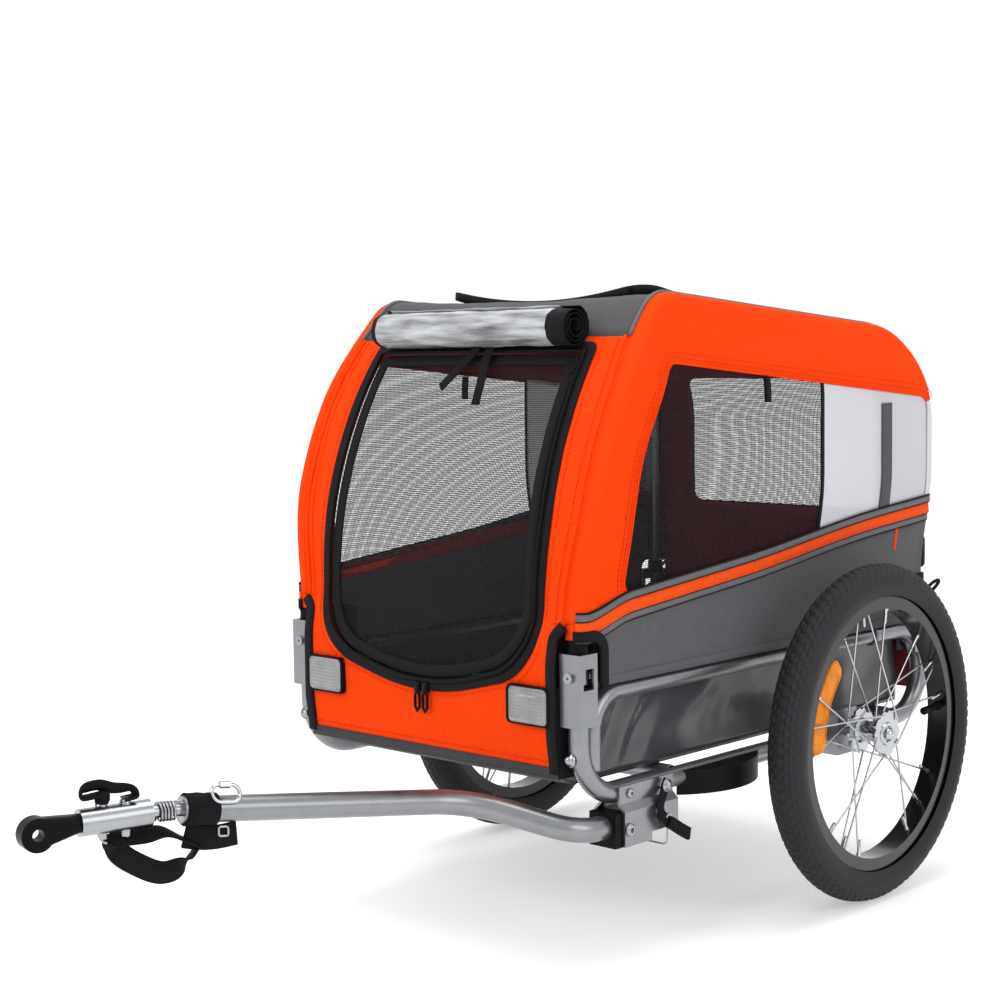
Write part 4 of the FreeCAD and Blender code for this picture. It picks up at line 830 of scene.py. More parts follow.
class Profile:
    """The cabin's outline measured along its length, for cloth that runs over it."""

    def __init__(self, shape: CabinShape) -> None:
        """Measures the outline of a cabin shape.

        Args:
            shape: The cabin's shape.
        """
        self.shape = shape
        self.line = shape.line(0.004)
        self.heads = directions(self.line)
        self.runs = lengths(self.line)
        self.rise = [p.z for p in self.line if p.y < 0.03]

    def at(self, run: float) -> tuple[Vector, Vector]:
        """Finds the point at a distance along the outline.

        Args:
            run: The distance from the front hem.

        Returns:
            The point, and the way that the cloth looks there.
        """
        k = min(max(bisect.bisect_right(self.runs, run), 1), len(self.runs) - 1)
        share = (run - self.runs[k - 1]) / (self.runs[k] - self.runs[k - 1])
        head = self.heads[k - 1].lerp(self.heads[k], share).normalized()
        return self.line[k - 1].lerp(self.line[k], share), Vector((0.0, -head.z, head.y))

    def front_run(self, height: float) -> float:
        """Finds the distance at which the front reaches a height.

        Args:
            height: The height.

        Returns:
            The distance from the front hem.
        """
        k = min(max(bisect.bisect_right(self.rise, height), 1), len(self.rise) - 1)
        share = (height - self.rise[k - 1]) / (self.rise[k] - self.rise[k - 1])
        return self.runs[k - 1] + (self.runs[k] - self.runs[k - 1]) * share

    def roof_run(self, y: float) -> float:
        """The distance at which the roof reaches a place along the trailer."""
        return next(r for r, p in zip(self.runs, self.line) if p.y >= y and p.z > self.shape.roof_low)

    def rear_run(self, height: float) -> float:
        """The distance at which the rear comes down to a height."""
        return next(r for r, p in zip(self.runs, self.line) if p.y > 0.45 and p.z <= height + 1e-6)

    def cloth(self, x: float, run: float, lift: float = 0.0) -> Vector:
        """A point on the cloth over the middle of the cabin.

        Args:
            x: The place across the trailer.
            run: The distance along the outline.
            lift: How far outside the outline the point is.

        Returns:
            The point.
        """
        point, out = self.at(run)
        spread = self.shape.swell(point.z) * between(abs(x), ((0.14, 0.0), (self.shape.seam, 1.0)))
        sag = self.shape.sag(x, point.y) if point.z > self.shape.roof_low else 0.0
        return Vector((x + math.copysign(spread, x), point.y, point.z - sag)) + out * lift

    def laid(self, outline: Sequence[Pair], lift: float) -> Line:
        """Lays an outline on the cloth.

        Args:
            outline: Samples as (x, run).
            lift: How far outside the cloth it runs.

        Returns:
            The points, and the way that the cloth looks at each.
        """
        return [self.cloth(x, run, lift) for x, run in outline], [self.at(run)[1] for _, run in outline]


class Part:
    """What the sub-assemblies share: pieces that ride a body, and cloth with its thickness."""

    FOLD = "arch_left_fold"
    FOLD_LINE = Vector((0.0, 0.0, 0.300))
    FOLD_KEEP = 0.52

    def hard(self, made: Piece, body: str, *nodes: str) -> None:
        """Fixes a piece to a body.

        Args:
            made: The piece.
            body: The CAD body that it rides on.
            nodes: CAD nodes that it stands for.
        """
        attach(made, body)
        if nodes:
            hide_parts(*nodes)

    def soft(self, made: Piece, body: str, *nodes: str) -> None:
        """Fixes cloth to a body, and gives it its own copy of its mesh."""
        self.hard(made, body, *nodes)
        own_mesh(made)

    def hang(self, made: Piece, path: Sequence[Vector], width: float, holder: str) -> None:
        """Takes a strap that hangs loose from a holder, and does nothing with it."""

    def thicken(self, made: Piece, thick: float, lining: bool = False) -> None:
        """Gives cloth its thickness.

        Args:
            made: The cloth.
            thick: Its thickness.
            lining: Whether its inner face takes the piece's second finish.
        """
        solid = made.modifiers.new("thickness", "SOLIDIFY")
        solid.thickness = thick
        solid.offset = 0.0
        solid.material_offset = 1 if lining else 0

    def area(self, made: Piece) -> float:
        """The area of a piece of cloth."""
        return sum(p.area for p in made.data.polygons)

    def stretched(self, made: Piece, *holders: str) -> None:
        """Works out the size of a panel that is stretched over the frame, and keeps nothing of it.

        Args:
            made: The panel.
            holders: Not used.
        """
        spots = [tuple(entry.uv) for entry in made.data.uv_layers[0].data]
        width, length = sorted(max(spot[i] for spot in spots) - min(spot[i] for spot in spots) for i in (0, 1))
        area = self.area(made)
        length = max(length, area / width)


@dataclass
class Cabin(Part):
    """The cloth cabin: front, door, sides, windows, roof, hatch, rear, tub and rain cover."""

    shape: CabinShape = CabinShape()
    cloth: float = 0.0012
    film: float = 0.0008
    door_top: float = 0.645
    door_half: float = 0.153
    door_low: float = 0.325
    door_tip: float = 0.282
    tie_width: float = 0.012
    notch_x: float = 0.190
    notch_z: float = 0.352
    facing_top: float = 0.302
    roof_seam: float = 0.662
    rear_seam: float = 0.500
    skirt_low: float = 0.302
    skirt_span: Pair = (-0.046, 0.556)
    skirt_turn: float = 0.016
    bound_z: float = 0.356
    split: float = 0.338
    stripe_low: float = 0.370
    stripe_rise: float = 0.062
    stripe_length: float = 0.670
    clear_y: float = 0.562
    clear_z: Pair = (0.446, 0.580)
    facing_far: Pair = (0.1930, -0.050)
    flap_at: Pair = (0.148, -0.0515)
    flap_step: float = 0.0165
    tub_hem: Pair = (0.0235, 0.014)
    front_reflector: Pair = (0.060, 0.042)
    rear_reflector: float = 0.024
    hatch_half: float = 0.154
    hatch_span: Pair = (0.105, 0.470)
    hatch_turn: float = 0.030
    net_half: float = 0.147
    net_span: Pair = (0.440, 0.610)
    tub_width: float = 0.593
    roll_radius: float = 0.0225
    roll_core: float = 0.005
    roll_turns: float = 3.4
    STRIPE_RISE: ClassVar[tuple[Pair, ...]] = ((0.0, -0.0045), (0.11, 0.0065), (0.40, 0.0068), (0.80, 0.0150),
                                               (1.0, 0.0140))
    STRIPE_LINES: ClassVar[tuple[Pair, ...]] = ((0.3844, 0.4479), (0.3758, 0.4393), (0.3612, 0.4247),
                                                (0.3535, 0.4165))
    STRIPE_ROWS: ClassVar[tuple[tuple[str, float, float, float, Finish], ...]] = (
        ("grey_top", 0.3800, 0.4435, 0.0075, PIPING_GREY), ("orange", 0.3685, 0.4320, 0.0145, STRIPE_ORANGE),
        ("grey_low", 0.3575, 0.4205, 0.0070, PIPING_GREY))
    TIES: ClassVar[dict[str, tuple[Pair, ...]]] = {
        "door_tie_a": ((0.010, 0.660), (0.001, 0.640), (-0.016, 0.622), (-0.034, 0.606)),
        "door_tie_b": ((0.026, 0.660), (0.024, 0.640), (0.027, 0.618), (0.029, 0.588))}

    def build(self) -> None:
        """Makes every cloth panel of the cabin and the trims on it."""
        self.profile = Profile(self.shape)
        self.front()
        self.door()
        for side in Side:
            self.side(side)
            self.skirt(side)
            self.windows(side)
            self.stripe(side)
        self.roof()
        self.hatch()
        self.rear()
        self.tub()
        self.rain_cover()
        self.reflectors()
        self.zip_pulls()

    def panel(self, skin: Skin, name: str, finishes: tuple[Finish, ...], outward: Vector, holders: tuple[str, ...],
              *nodes: str, body: str = "frame", folds: bool = True, thick: bool = True) -> None:
        """Makes a panel that is stretched between holders.

        Args:
            skin: Its shape.
            name: Its name.
            finishes: What it is made of.
            outward: The way that it looks.
            holders: The names of the pieces that hold it.
            nodes: CAD nodes that it stands for.
            body: The CAD body that it rides on.
            folds: Whether it is fixed with its own copy of its mesh.
            thick: Whether it is cloth with a thickness, and not a net or a film.
        """
        made = skin.piece(name, *finishes, outward=outward)
        if thick:
            self.thicken(made, self.cloth, LINING in finishes)
        mount = self.soft if folds else self.hard
        mount(made, body, *nodes)
        self.stretched(made, *holders)

    def stripe_z(self, y: float) -> float:
        """The height of the seam between side panel and skirt."""
        return self.stripe_low + (y - self.shape.front) * self.stripe_rise / self.stripe_length

    def front_place(self, x: float, z: float, lift: float = 0.0) -> Vector:
        """A point on the front cloth, or a little outside it."""
        return self.profile.cloth(x, self.profile.front_run(z), lift)

    def side_place(self, sign: float, y: float, z: float, lift: float = 0.0) -> Vector:
        """A point on a side's cloth, or a little outside it."""
        return Vector((sign * (self.shape.wide(z) + lift), y, z))

    def door_outline(self, grow: float = 0.0) -> list[Pair]:
        """The door's edge as (x, z), made wider by a little where asked.

        Args:
            grow: How far outside the edge the outline runs.

        Returns:
            The outline's samples.
        """
        high, top = self.door_half + grow, self.door_top + grow
        low, turn = self.door_half + 0.005 + grow, self.door_low - grow
        return rounded([(-high, top, 0.004), (high, top, 0.004), (low, turn, 0.070),
                        (0.0, self.door_tip - grow, 0.300), (-low, turn, 0.070)], True)

    def front_line(self, outline: Sequence[Pair], lift: float) -> Line:
        """Lays an outline of (x, z) on the front cloth, or a little outside it."""
        return self.profile.laid([(x, self.profile.front_run(z)) for x, z in outline], lift)

    def front(self) -> None:
        """The front panel round the door, in an upper part and a lower part."""
        edge, notch, low, top = self.shape.seam, self.notch_x, self.shape.hem, self.notch_z
        corners = [(-edge, self.roof_seam, 0.0), (edge, self.roof_seam, 0.0), (edge, top + 0.012, 0.0),
                   (notch, top, 0.010), (notch, low, 0.0), (-notch, low, 0.0), (-notch, top, 0.010),
                   (-edge, top + 0.012, 0.0)]

        def place(x: float, z: float, t: float) -> Vector:
            """Puts a flat point on the front, with soft pulls towards the seams."""
            return self.front_place(x, z, ripple(self.front_place(x, z), 0.0022, 0.07) * math.sin(math.pi * t))

        whole = ring_skin(rounded(corners, True), self.door_outline(0.001), 12, place)
        fold = self.FOLD_LINE.z
        self.panel(whole.part(lambda middle: middle.z > fold), "front_upper", (ORANGE, LINING), FRONT, ARCHES,
                   "front_panel")
        self.panel(whole.part(lambda middle: middle.z <= fold), "front_lower", (ORANGE, LINING), FRONT, ARCHES,
                   "front_panel", folds=False)
        tape = ribbon_skin(*self.front_line(self.door_outline(0.007), 0.0016), 0.011, 0.0018, True)
        self.soft(tape.piece("door_zip_tape", BINDING), "frame")
        coil = tube_skin(self.front_line(self.door_outline(0.0015), 0.0030)[0], 0.0026, True)
        self.soft(coil.piece("door_zip_coil", PLASTIC), "frame")
        sewn = stitch_skin(*self.front_line(self.door_outline(0.016), 0.0010))
        self.soft(sewn.piece("door_stitches", THREAD), "frame")
        hem = rounded([(-notch + 0.002, low, 0.0), (notch - 0.002, low, 0.0)], False)
        tape = ribbon_skin(*self.front_line(hem, 0.0014), 0.012, 0.0020)
        self.hard(tape.piece("front_hem", HATCH_GREY), "frame")
        sewn = stitch_skin(*self.front_line([(x, z + 0.012) for x, z in hem], 0.0010))
        self.hard(sewn.piece("front_hem_stitches", THREAD), "frame")
        for side in Side:
            s, welt = side.value, side.value * (edge - 0.004)
            line = rounded([(welt, top + 0.016, 0.0), (welt, self.roof_seam, 0.0)], False)
            cord = tube_skin(self.front_line(line, 0.0014)[0], 0.0022)
            self.soft(cord.piece(f"front_welt_{side.word}", ORANGE), "frame")
            sewn = stitch_skin(*self.front_line([(x - s * 0.008, z) for x, z in line], 0.0008))
            self.soft(sewn.piece(f"front_seam_{side.word}", THREAD), "frame")
            inner = s * (notch - 0.003)
            bound = rounded([(inner, low, 0.0), (inner, top + 0.002, 0.012), (s * edge, top + 0.014, 0.0)], False)
            tape = ribbon_skin(*self.front_line(bound, 0.0020), 0.012, 0.0040)
            self.hard(tape.piece(f"notch_binding_{side.word}", BINDING), "frame")
            self.corner(side)

    def corner(self, side: Side) -> None:
        """The dark facing behind a corner post, and the flap above it.

        Args:
            side: The side that they are on.
        """
        s, seat = side.value, self.facing_top
        low, start, top = self.shape.hem - 0.006, seat - 0.003, self.notch_z + 0.004
        (far_x, far_y), (flap_x, flap_y) = self.facing_far, self.flap_at
        facing, flap = Skin(), Skin()
        rows, high = [], []
        for k in range(12):
            z = low + (seat - low) * k / 11
            near = self.front_place(s * self.notch_x, max(z, self.shape.hem))
            near, far = Vector((near.x, near.y, z)), Vector((s * far_x, far_y, z))
            rows.append([facing.add(near.lerp(far, j / 4), (j / 100, z)) for j in range(5)])
            z = start + (top - start) * k / 11
            steps = [self.flap_step * j for j in range(5)]
            high.append([flap.add(Vector((s * (flap_x + step), flap_y, z)), (step, z)) for step in steps])
        facing.join(rows)
        flap.join(high)
        self.panel(facing, f"corner_facing_{side.word}", (BINDING,), side.out, ("front_lower", "tub"), folds=False)
        self.panel(flap, f"corner_flap_{side.word}", (BINDING,), FRONT,
                   (f"corner_facing_{side.word}", f"skirt_{side.word}"))

    def door(self) -> None:
        """The net door with its bound edge and the two ties that hang from the roll."""

        def place(x: float, z: float, t: float) -> Vector:
            """Puts a flat point on the door, which sags a little."""
            return self.front_place(x, z, ripple(Vector((x, 0.0, z)), 0.0016, 0.09) * t)

        self.panel(ring_skin(self.door_outline(-0.001), None, 14, place), "door_net", (NET,), FRONT,
                   ("door_binding",), "front_door", body="front_door", thick=False)
        tape = ribbon_skin(*self.front_line(self.door_outline(-0.008), 0.0014), 0.013, 0.0022, True)
        self.soft(tape.piece("door_binding", BINDING), "front_door")
        for name, path in self.TIES.items():
            points = [self.front_place(x, z, 0.014 - 0.009 * k / 3) for k, (x, z) in enumerate(path)]
            tape = ribbon_skin(points, self.front_line(path, 0.0)[1], self.tie_width, 0.0016)
            tie = tape.piece(name, WEBBING)
            self.soft(tie, "front_door")
            self.hang(tie, points, self.tie_width, "rain_cover")
        self.soft(self.slider("door_slider", self.front_place(0.150, 0.628, 0.006)), "front_door")

    def slider(self, name: str, at: Vector) -> Piece:
        """A zip slider with its pull tab, looking forward.

        Args:
            name: The piece's name.
            at: Where it sits.

        Returns:
            The piece.
        """
        skin = Skin()
        ribbon_skin([at, at + DOWN * 0.006, at + DOWN * 0.012], [FRONT] * 3, 0.009, 0.005, skin=skin)
        start = at + FRONT * 0.003 + DOWN * 0.008
        ribbon_skin([start, start + DOWN * 0.012 + FRONT * 0.002, start + DOWN * 0.026], [FRONT] * 3, 0.007, 0.002,
                    skin=skin)
        return skin.piece(name, PLASTIC)

    def wrap(self, skin: Skin, row: Sequence[int], flat: Sequence[tuple[Vector, Vector]], sign: float,
             tint: int = 0) -> None:
        """Carries a side panel's edge round the arch to its seam.

        Args:
            skin: The skin of the panel.
            row: The numbers of its edge points.
            flat: The outline's point and outward look for each edge point.
            sign: The side that the panel is on.
            tint: The number of its finish.
        """
        bend, steps = self.shape.bend, 6
        last = list(row)
        for step in range(1, steps + 2):
            turn = math.pi / 2 * min(step, steps) / steps
            now = []
            for point, out in flat:
                x = self.shape.wide(point.z) - bend + bend * math.cos(turn)
                if step > steps:
                    x = self.shape.seam + self.shape.swell(point.z)
                put = Vector((sign * x, point.y, point.z)) + out * (bend * math.sin(turn) - bend)
                now.append(skin.add(put, (point.y + 0.002 * step, point.z)))
            skin.strip(now, last, False, tint)
            last = now

    def side(self, side: Side) -> None:
        """One side panel with its window opening, wrapped round the arch.

        Args:
            side: The side that it is on.
        """
        sign = side.value
        line = self.shape.line(0.006)
        edge, outer = [], []
        for point, head in zip(line, directions(line)):
            out = Vector((0.0, -head.z, head.y))
            inner = point - out * self.shape.bend
            if inner.z >= self.stripe_z(inner.y) - 0.004:
                edge.append((point, out))
                outer.append((inner.y, inner.z))
        start, end = outer[0][0], outer[-1][0]
        outer += [(y, self.stripe_z(y)) for y in (end + (start - end) * k / 60 for k in range(1, 60))]

        def place(y: float, z: float, t: float) -> Vector:
            """Puts a flat point on the side, with soft pulls towards the seams."""
            return self.side_place(sign, y, z, ripple(Vector((0.3, y, z)), 0.0020, 0.09) * math.sin(math.pi * t))

        def sewn_edge(grow: float, lift: float) -> list[Vector]:
            """The window's sewn edge on the side."""
            return [self.side_place(sign, y, z, lift) for y, z in self.open_edge(grow)]

        skin = ring_skin(outer, self.window_outline(), 10, place)
        self.wrap(skin, range(len(edge)), edge, sign)
        for k, corners in enumerate(skin.faces):
            middle = skin.middle(corners)
            if self.clear_edge(middle.y, middle.z):
                skin.tints[k] = 2
        self.panel(skin, f"side_{side.word}", (ORANGE, LINING, FILM_EDGE, FILM_EDGE), side.out, ARCHES,
                   f"side_panel_{side.word}")
        for k, grow in enumerate((0.006, 0.012)):
            row = sewn_edge(grow, 0.0008)
            sewn = stitch_skin(row, [side.out] * len(row))
            self.soft(sewn.piece(f"window_seam_{side.word}_{k}", THREAD), "frame")
        cord = tube_skin(sewn_edge(0.0, 0.0004), 0.0014, sides=6)
        self.soft(cord.piece(f"window_edge_{side.word}", ORANGE), "frame")

    def clear_edge(self, y: float, z: float) -> bool:
        """Whether the clear window's border lies at a place of the side."""
        return y > self.clear_y and self.clear_z[0] < z < self.clear_z[1]

    def open_edge(self, grow: float) -> list[Pair]:
        """The window's sewn edge from its lower rear corner round the front to its upper rear corner.

        Args:
            grow: How far outside the opening it runs.

        Returns:
            The edge's samples.
        """
        line = self.window_outline(grow)
        rear = [k for k, (y, z) in enumerate(line) if self.clear_edge(y, z)]
        return line[rear[-1] + 1:] + line[:rear[0]]

    def window_outline(self, grow: float = 0.0) -> list[Pair]:
        """The window opening as (y, z), made wider by a little where asked.

        Args:
            grow: How far outside the opening the outline runs.

        Returns:
            The outline's samples.
        """
        turn = 0.016 + grow
        return rounded([(-0.0165 - grow, 0.391 - grow, turn), (-0.008 - grow, 0.520, 0.25 + grow),
                        (0.056 - grow * 0.5, 0.6345 + grow, turn), (0.572 + grow, 0.586 + grow, turn),
                        (0.572 + grow, 0.449 - grow, turn)], True)

    def windows(self, side: Side) -> None:
        """The net window in front and the clear one behind it, with the trims on them.

        Args:
            side: The side that they are on.
        """
        sign = side.value
        top = 0.6345 - 0.0485 * (self.split - 0.056) / 0.516
        low = 0.391 + 0.058 * (self.split + 0.0165) / 0.5885
        high_end, low_end = (self.split, top + 0.003, 0.0), (self.split, low - 0.003, 0.0)

        def place(y: float, z: float, t: float) -> Vector:
            """Puts a flat point on the window."""
            return self.side_place(sign, y, z, ripple(Vector((0.1, y, z)), 0.0010, 0.12) * t - 0.001)

        for name, finish, node, corners in (
                ("window_net", NET, "window_mesh", [(-0.0195, 0.388, 0.016), (-0.011, 0.520, 0.25),
                                                    (0.055, 0.6375, 0.016), high_end, low_end]),
                ("window_film", FILM, "window_clear", [high_end, (0.575, 0.589, 0.016), (0.575, 0.446, 0.016),
                                                       low_end])):
            self.panel(ring_skin(rounded(corners, True), None, 10, place), f"{name}_{side.word}", (finish,), side.out,
                       (f"side_{side.word}",), node, thick=False)
        for name, y, start, end, lift, width, thick, finish in (
                ("window_tape", self.split, low, top, 0.0, 0.006, 0.0016, BINDING),
                ("window_strip", 0.478, 0.441, 0.580, 0.0004, 0.023, 0.0010, ROOF_GREY),
                ("window_toggle", 0.224, 0.588, 0.616, 0.003, 0.009, 0.0040, WEBBING),
                ("seam_tab", 0.514, 0.396, 0.424, 0.0010, 0.006, 0.0010, THREAD)):
            line = [self.side_place(sign, y, start + (end - start) * k / 12, lift) for k in range(13)]
            tape = ribbon_skin(line, [side.out] * 13, width, thick)
            self.soft(tape.piece(f"{name}_{side.word}", finish), "frame")

    def skirt(self, side: Side) -> None:
        """The grey skirt under a side panel, cut back round the hinge brackets.

        Args:
            side: The side that it is on.
        """
        sign, bend, bound = side.value, self.shape.bend, self.bound_z
        start, end = self.shape.front + bend, self.shape.rear - bend
        (front, rear), top, turn = self.skirt_span, self.notch_z, self.skirt_turn
        arc = [(turn * math.sin(math.pi / 12 * k), turn * math.cos(math.pi / 12 * k)) for k in range(7)]
        edge = [(start, top)] + [(front - turn + a, top - turn + b) for a, b in arc]
        edge += [(front + 0.001 + (rear - front - 0.002) * k / 96, self.skirt_low) for k in range(97)]
        edge += [(rear + turn - a, top - turn + b) for a, b in reversed(arc)] + [(end, top)]
        skin = Skin()
        columns = []
        for y, low in edge:
            column = []
            for share in (k / 10 for k in range(11)):
                z = self.stripe_z(y) + (low - self.stripe_z(y)) * share
                soft = ripple(Vector((0.7, y, z)), 0.0025, 0.08) * math.sin(math.pi * share)
                column.append(skin.add(self.side_place(sign, y, z, soft), (y, z)))
            columns.append(column)
        skin.join(columns)
        for row, y, out in ((columns[0], start, -1.0), (columns[-1][::-1], end, 1.0)):
            bends = [(Vector((0.0, y + out * bend, skin.points[k].z)), Vector((0.0, out, 0.0))) for k in row]
            self.wrap(skin, row, bends, sign, 1 if out < 0.0 else 0)
        self.panel(skin, f"skirt_{side.word}", (SKIRT_GREY, ORANGE), side.out, ARCHES, "side_skirts")
        for name, corner, post, out in (("front", start, front, -1.0), ("rear", end, rear, 1.0)):
            angles = [math.radians(80.0) * (1.0 - k / 6) for k in range(7)]
            looks = [Vector((sign * math.cos(a), out * math.sin(a), 0.0)) for a in angles]
            root = Vector((sign * (self.shape.half - bend), corner, bound))
            row = [root + look * (bend + 0.0024) for look in looks]
            route = [(corner, bound, 0.0), (post, bound, 0.018), (post, self.skirt_low, 0.0)]
            flat = rounded(route, False, 0.004)[1:]
            row += [Vector((sign * (self.shape.half + 0.0024), y, z)) for y, z in flat]
            tape = ribbon_skin(row, looks + [side.out] * len(flat), 0.012, 0.004)
            self.soft(tape.piece(f"skirt_binding_{name}_{side.word}", BINDING), "frame")
        hem = [Vector((sign * (self.shape.half + 0.0008), front + (rear - front) * k / 90, self.skirt_low + 0.005))
               for k in range(91)]
        tape = ribbon_skin(hem, [side.out] * 91, 0.010, 0.002)
        self.soft(tape.piece(f"skirt_hem_{side.word}", SKIRT_GREY), "frame")

    def stripe(self, side: Side) -> None:
        """The piped stripe along the seam between side panel and skirt.

        Args:
            side: The side that it is on.
        """
        for name, front, rear, width, finish in self.STRIPE_ROWS:
            tape = ribbon_skin(*self.stripe_path(side.value, front, rear, 0.0016), width, 0.0030)
            self.soft(tape.piece(f"stripe_{name}_{side.word}", finish), "frame")
        for k, (front, rear) in enumerate(self.STRIPE_LINES):
            cord = tube_skin(self.stripe_path(side.value, front, rear, 0.0020)[0], 0.0013, sides=6)
            self.soft(cord.piece(f"stripe_line_{k}_{side.word}", BINDING), "frame")

    def stripe_path(self, sign: float, front: float, rear: float, lift: float) -> Line:
        """A line of the stripe from round the front corner to the rear one.

        Args:
            sign: The side that it is on.
            front: Its height at the front.
            rear: Its height at the rear.
            lift: How far outside the cloth it runs.

        Returns:
            The points, and the way that the stripe looks at each.
        """
        bend = self.shape.bend
        start, end = self.shape.front + bend, self.shape.rear - bend
        path, looks = [], []
        for k in range(-6, 81):
            share = max(0.0, k / 80)
            z = front + (rear - front) * share + between(share, self.STRIPE_RISE)
            turn = math.radians(70.0) * max(0.0, -k / 6)
            out = Vector((sign * math.cos(turn), -math.sin(turn), 0.0))
            root = Vector((sign * (self.shape.wide(z) - bend), start + (end - start) * share, z))
            path.append(root + out * (bend + lift))
            looks.append(out)
        return path, looks

    def roof(self) -> None:
        """The roof panel round the hatch."""
        cover, seam = self.profile, self.shape.seam
        start, end = cover.front_run(self.roof_seam), cover.roof_run(self.rear_seam)
        near, far = (cover.roof_run(y) for y in self.hatch_span)

        def place(x: float, run: float, t: float) -> Vector:
            """Puts a flat point on the roof."""
            return cover.cloth(x, run, ripple(Vector((x, run, 0.2)), 0.0016, 0.06) * math.sin(math.pi * t))

        inner = oblong((-self.hatch_half, near), (self.hatch_half, far), self.hatch_turn)
        skin = ring_skin(oblong((-seam, start), (seam, end), 0.0), inner, 8, place)
        self.panel(skin, "roof", (ROOF_GREY,), UP, ARCHES, "roof_panel")
        for side in Side:
            x = side.value * (seam + 0.001)
            line = [cover.cloth(x, start + (end - start) * k / 90, 0.0012) for k in range(91)]
            self.soft(tube_skin(line, 0.0024).piece(f"roof_welt_{side.word}", PIPING_GREY), "frame")

    def hatch(self) -> None:
        """The roof hatch, whose zipped front corners stand up a little."""
        cover, half = self.profile, self.hatch_half
        start, end = (cover.roof_run(y) for y in self.hatch_span)

        def rise(x: float, run: float) -> float:
            """How far the hatch stands off the roof."""
            near = max(0.0, 1.0 - (run - start) / 0.12)
            return 0.002 + 0.015 * near * (abs(x) / half) ** 2

        def place(x: float, run: float, t: float) -> Vector:
            """Puts a flat point on the hatch."""
            return cover.cloth(x, run, rise(x, run) + ripple(Vector((x, run, 0.5)), 0.002, 0.08) * t)

        outline = oblong((0.001 - half, start + 0.001), (half - 0.001, end - 0.001), self.hatch_turn)
        self.panel(ring_skin(outline, None, 12, place), "hatch", (HATCH_GREY,), UP, ("hatch_zip",), "roof_hatch",
                   body="roof_hatch")
        edge = oblong((0.003 - half, start + 0.003), (half - 0.003, end - 0.003), 0.028)
        points = [cover.cloth(x, run, rise(x, run) - 0.001) for x, run in edge]
        looks = [cover.at(run)[1] for _, run in edge]
        flank = [look.cross(head).normalized() for look, head in zip(looks, directions(points, True))]
        self.soft(ribbon_skin(points, flank, 0.010, 0.005, True).piece("hatch_zip", BINDING), "roof_hatch")
        self.soft(self.slider("hatch_slider", cover.cloth(0.130, start - 0.002, 0.014)), "roof_hatch")

    def rear(self) -> None:
        """The rear panel round its net window, and the net."""
        cover, seam, half = self.profile, self.shape.seam, self.net_half
        start, end = cover.roof_run(self.rear_seam), cover.runs[-1]
        low, high = (cover.rear_run(z) for z in self.net_span)
        inner = oblong((-half, high), (half, low), 0.016)

        def place(x: float, run: float, t: float) -> Vector:
            """Puts a flat point on the rear."""
            return cover.cloth(x, run, ripple(Vector((x, run, 0.9)), 0.0016, 0.08) * math.sin(math.pi * t))

        skin = ring_skin(oblong((-seam, start), (seam, end), 0.0), inner, 12, place)
        self.panel(skin, "rear", (ROOF_GREY, LINING), BACK, ARCHES, "rear_panel")
        self.panel(ring_skin(inner, None, 10, place), "rear_net", (NET,), BACK, ("rear",), "rear_mesh", thick=False)
        bound = oblong((-half - 0.004, high - 0.004), (half + 0.004, low + 0.004), 0.018)
        tape = ribbon_skin(*cover.laid(bound, 0.0014), 0.012, 0.0018, True)
        self.soft(tape.piece("rear_net_binding", BINDING), "frame")
        line = [cover.cloth(-seam + 2 * seam * k / 40, start, 0.0014) for k in range(41)]
        self.soft(tube_skin(line, 0.0022).piece("rear_welt", PIPING_GREY), "frame")

    def tub(self) -> None:
        """The coated cloth tub under the cabin, with soft folds in its walls."""
        low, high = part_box("lower_tub")
        path = [Vector((x, y, 0.0)) for x, y in oblong((low.x, low.y), (high.x, high.y), 0.014, 0.008)]
        outs = [Vector((head.y, -head.x, 0.0)) for head in directions(path, True)]
        skin = Skin()
        floor, levels, inward = low.z + 0.0012, 14, 8
        row = []
        for point, out in zip(path, outs):
            across = abs(out.x) > 0.9
            room = min(point.y - low.y, high.y - point.y) if across else high.x - abs(point.x)
            reach = self.tub_hem[0 if across else 1] * between(room, ((0.012, 0.0), (0.032, 1.0)))
            put = Vector((point.x, point.y, high.z + 0.004)) + out * reach
            row.append(skin.add(put, (point.x + point.y, high.z + reach)))
        rows = [row]
        for k in range(levels + 1):
            z = high.z - (high.z - floor) * k / levels
            belly = math.sin(math.pi * k / levels)
            row = []
            for point, out in zip(path, outs):
                spot = Vector((point.x, point.y, z))
                fold = math.sin(math.tau * (spot.y * 0.9 - spot.z * 1.5) / 0.085 + 6.0 * noise.noise(spot * 9.0))
                fold *= 0.0026 * between(spot.y, ((0.02, 1.0), (0.16, 0.55), (0.30, 0.15)))
                put = spot + out * (belly * (ripple(spot, 0.0045, 0.11) + fold - 0.002) - 0.001)
                row.append(skin.add(put, (point.x + point.y, z)))
            rows.append(row)
        centre = Vector((0.0, (low.y + high.y) / 2, floor))
        for share in (1.0 - k / inward for k in range(1, inward + 1)):
            rows.append([skin.add(centre + (Vector((p.x, p.y, floor)) - centre) * share, (p.x * share, p.y * share))
                         for p in path])
        skin.join(rows, True)
        made = skin.piece("tub", VINYL, outward=DOWN)
        self.thicken(made, self.cloth)
        self.hard(made, "frame", "lower_tub")
        self.area(made) / self.tub_width

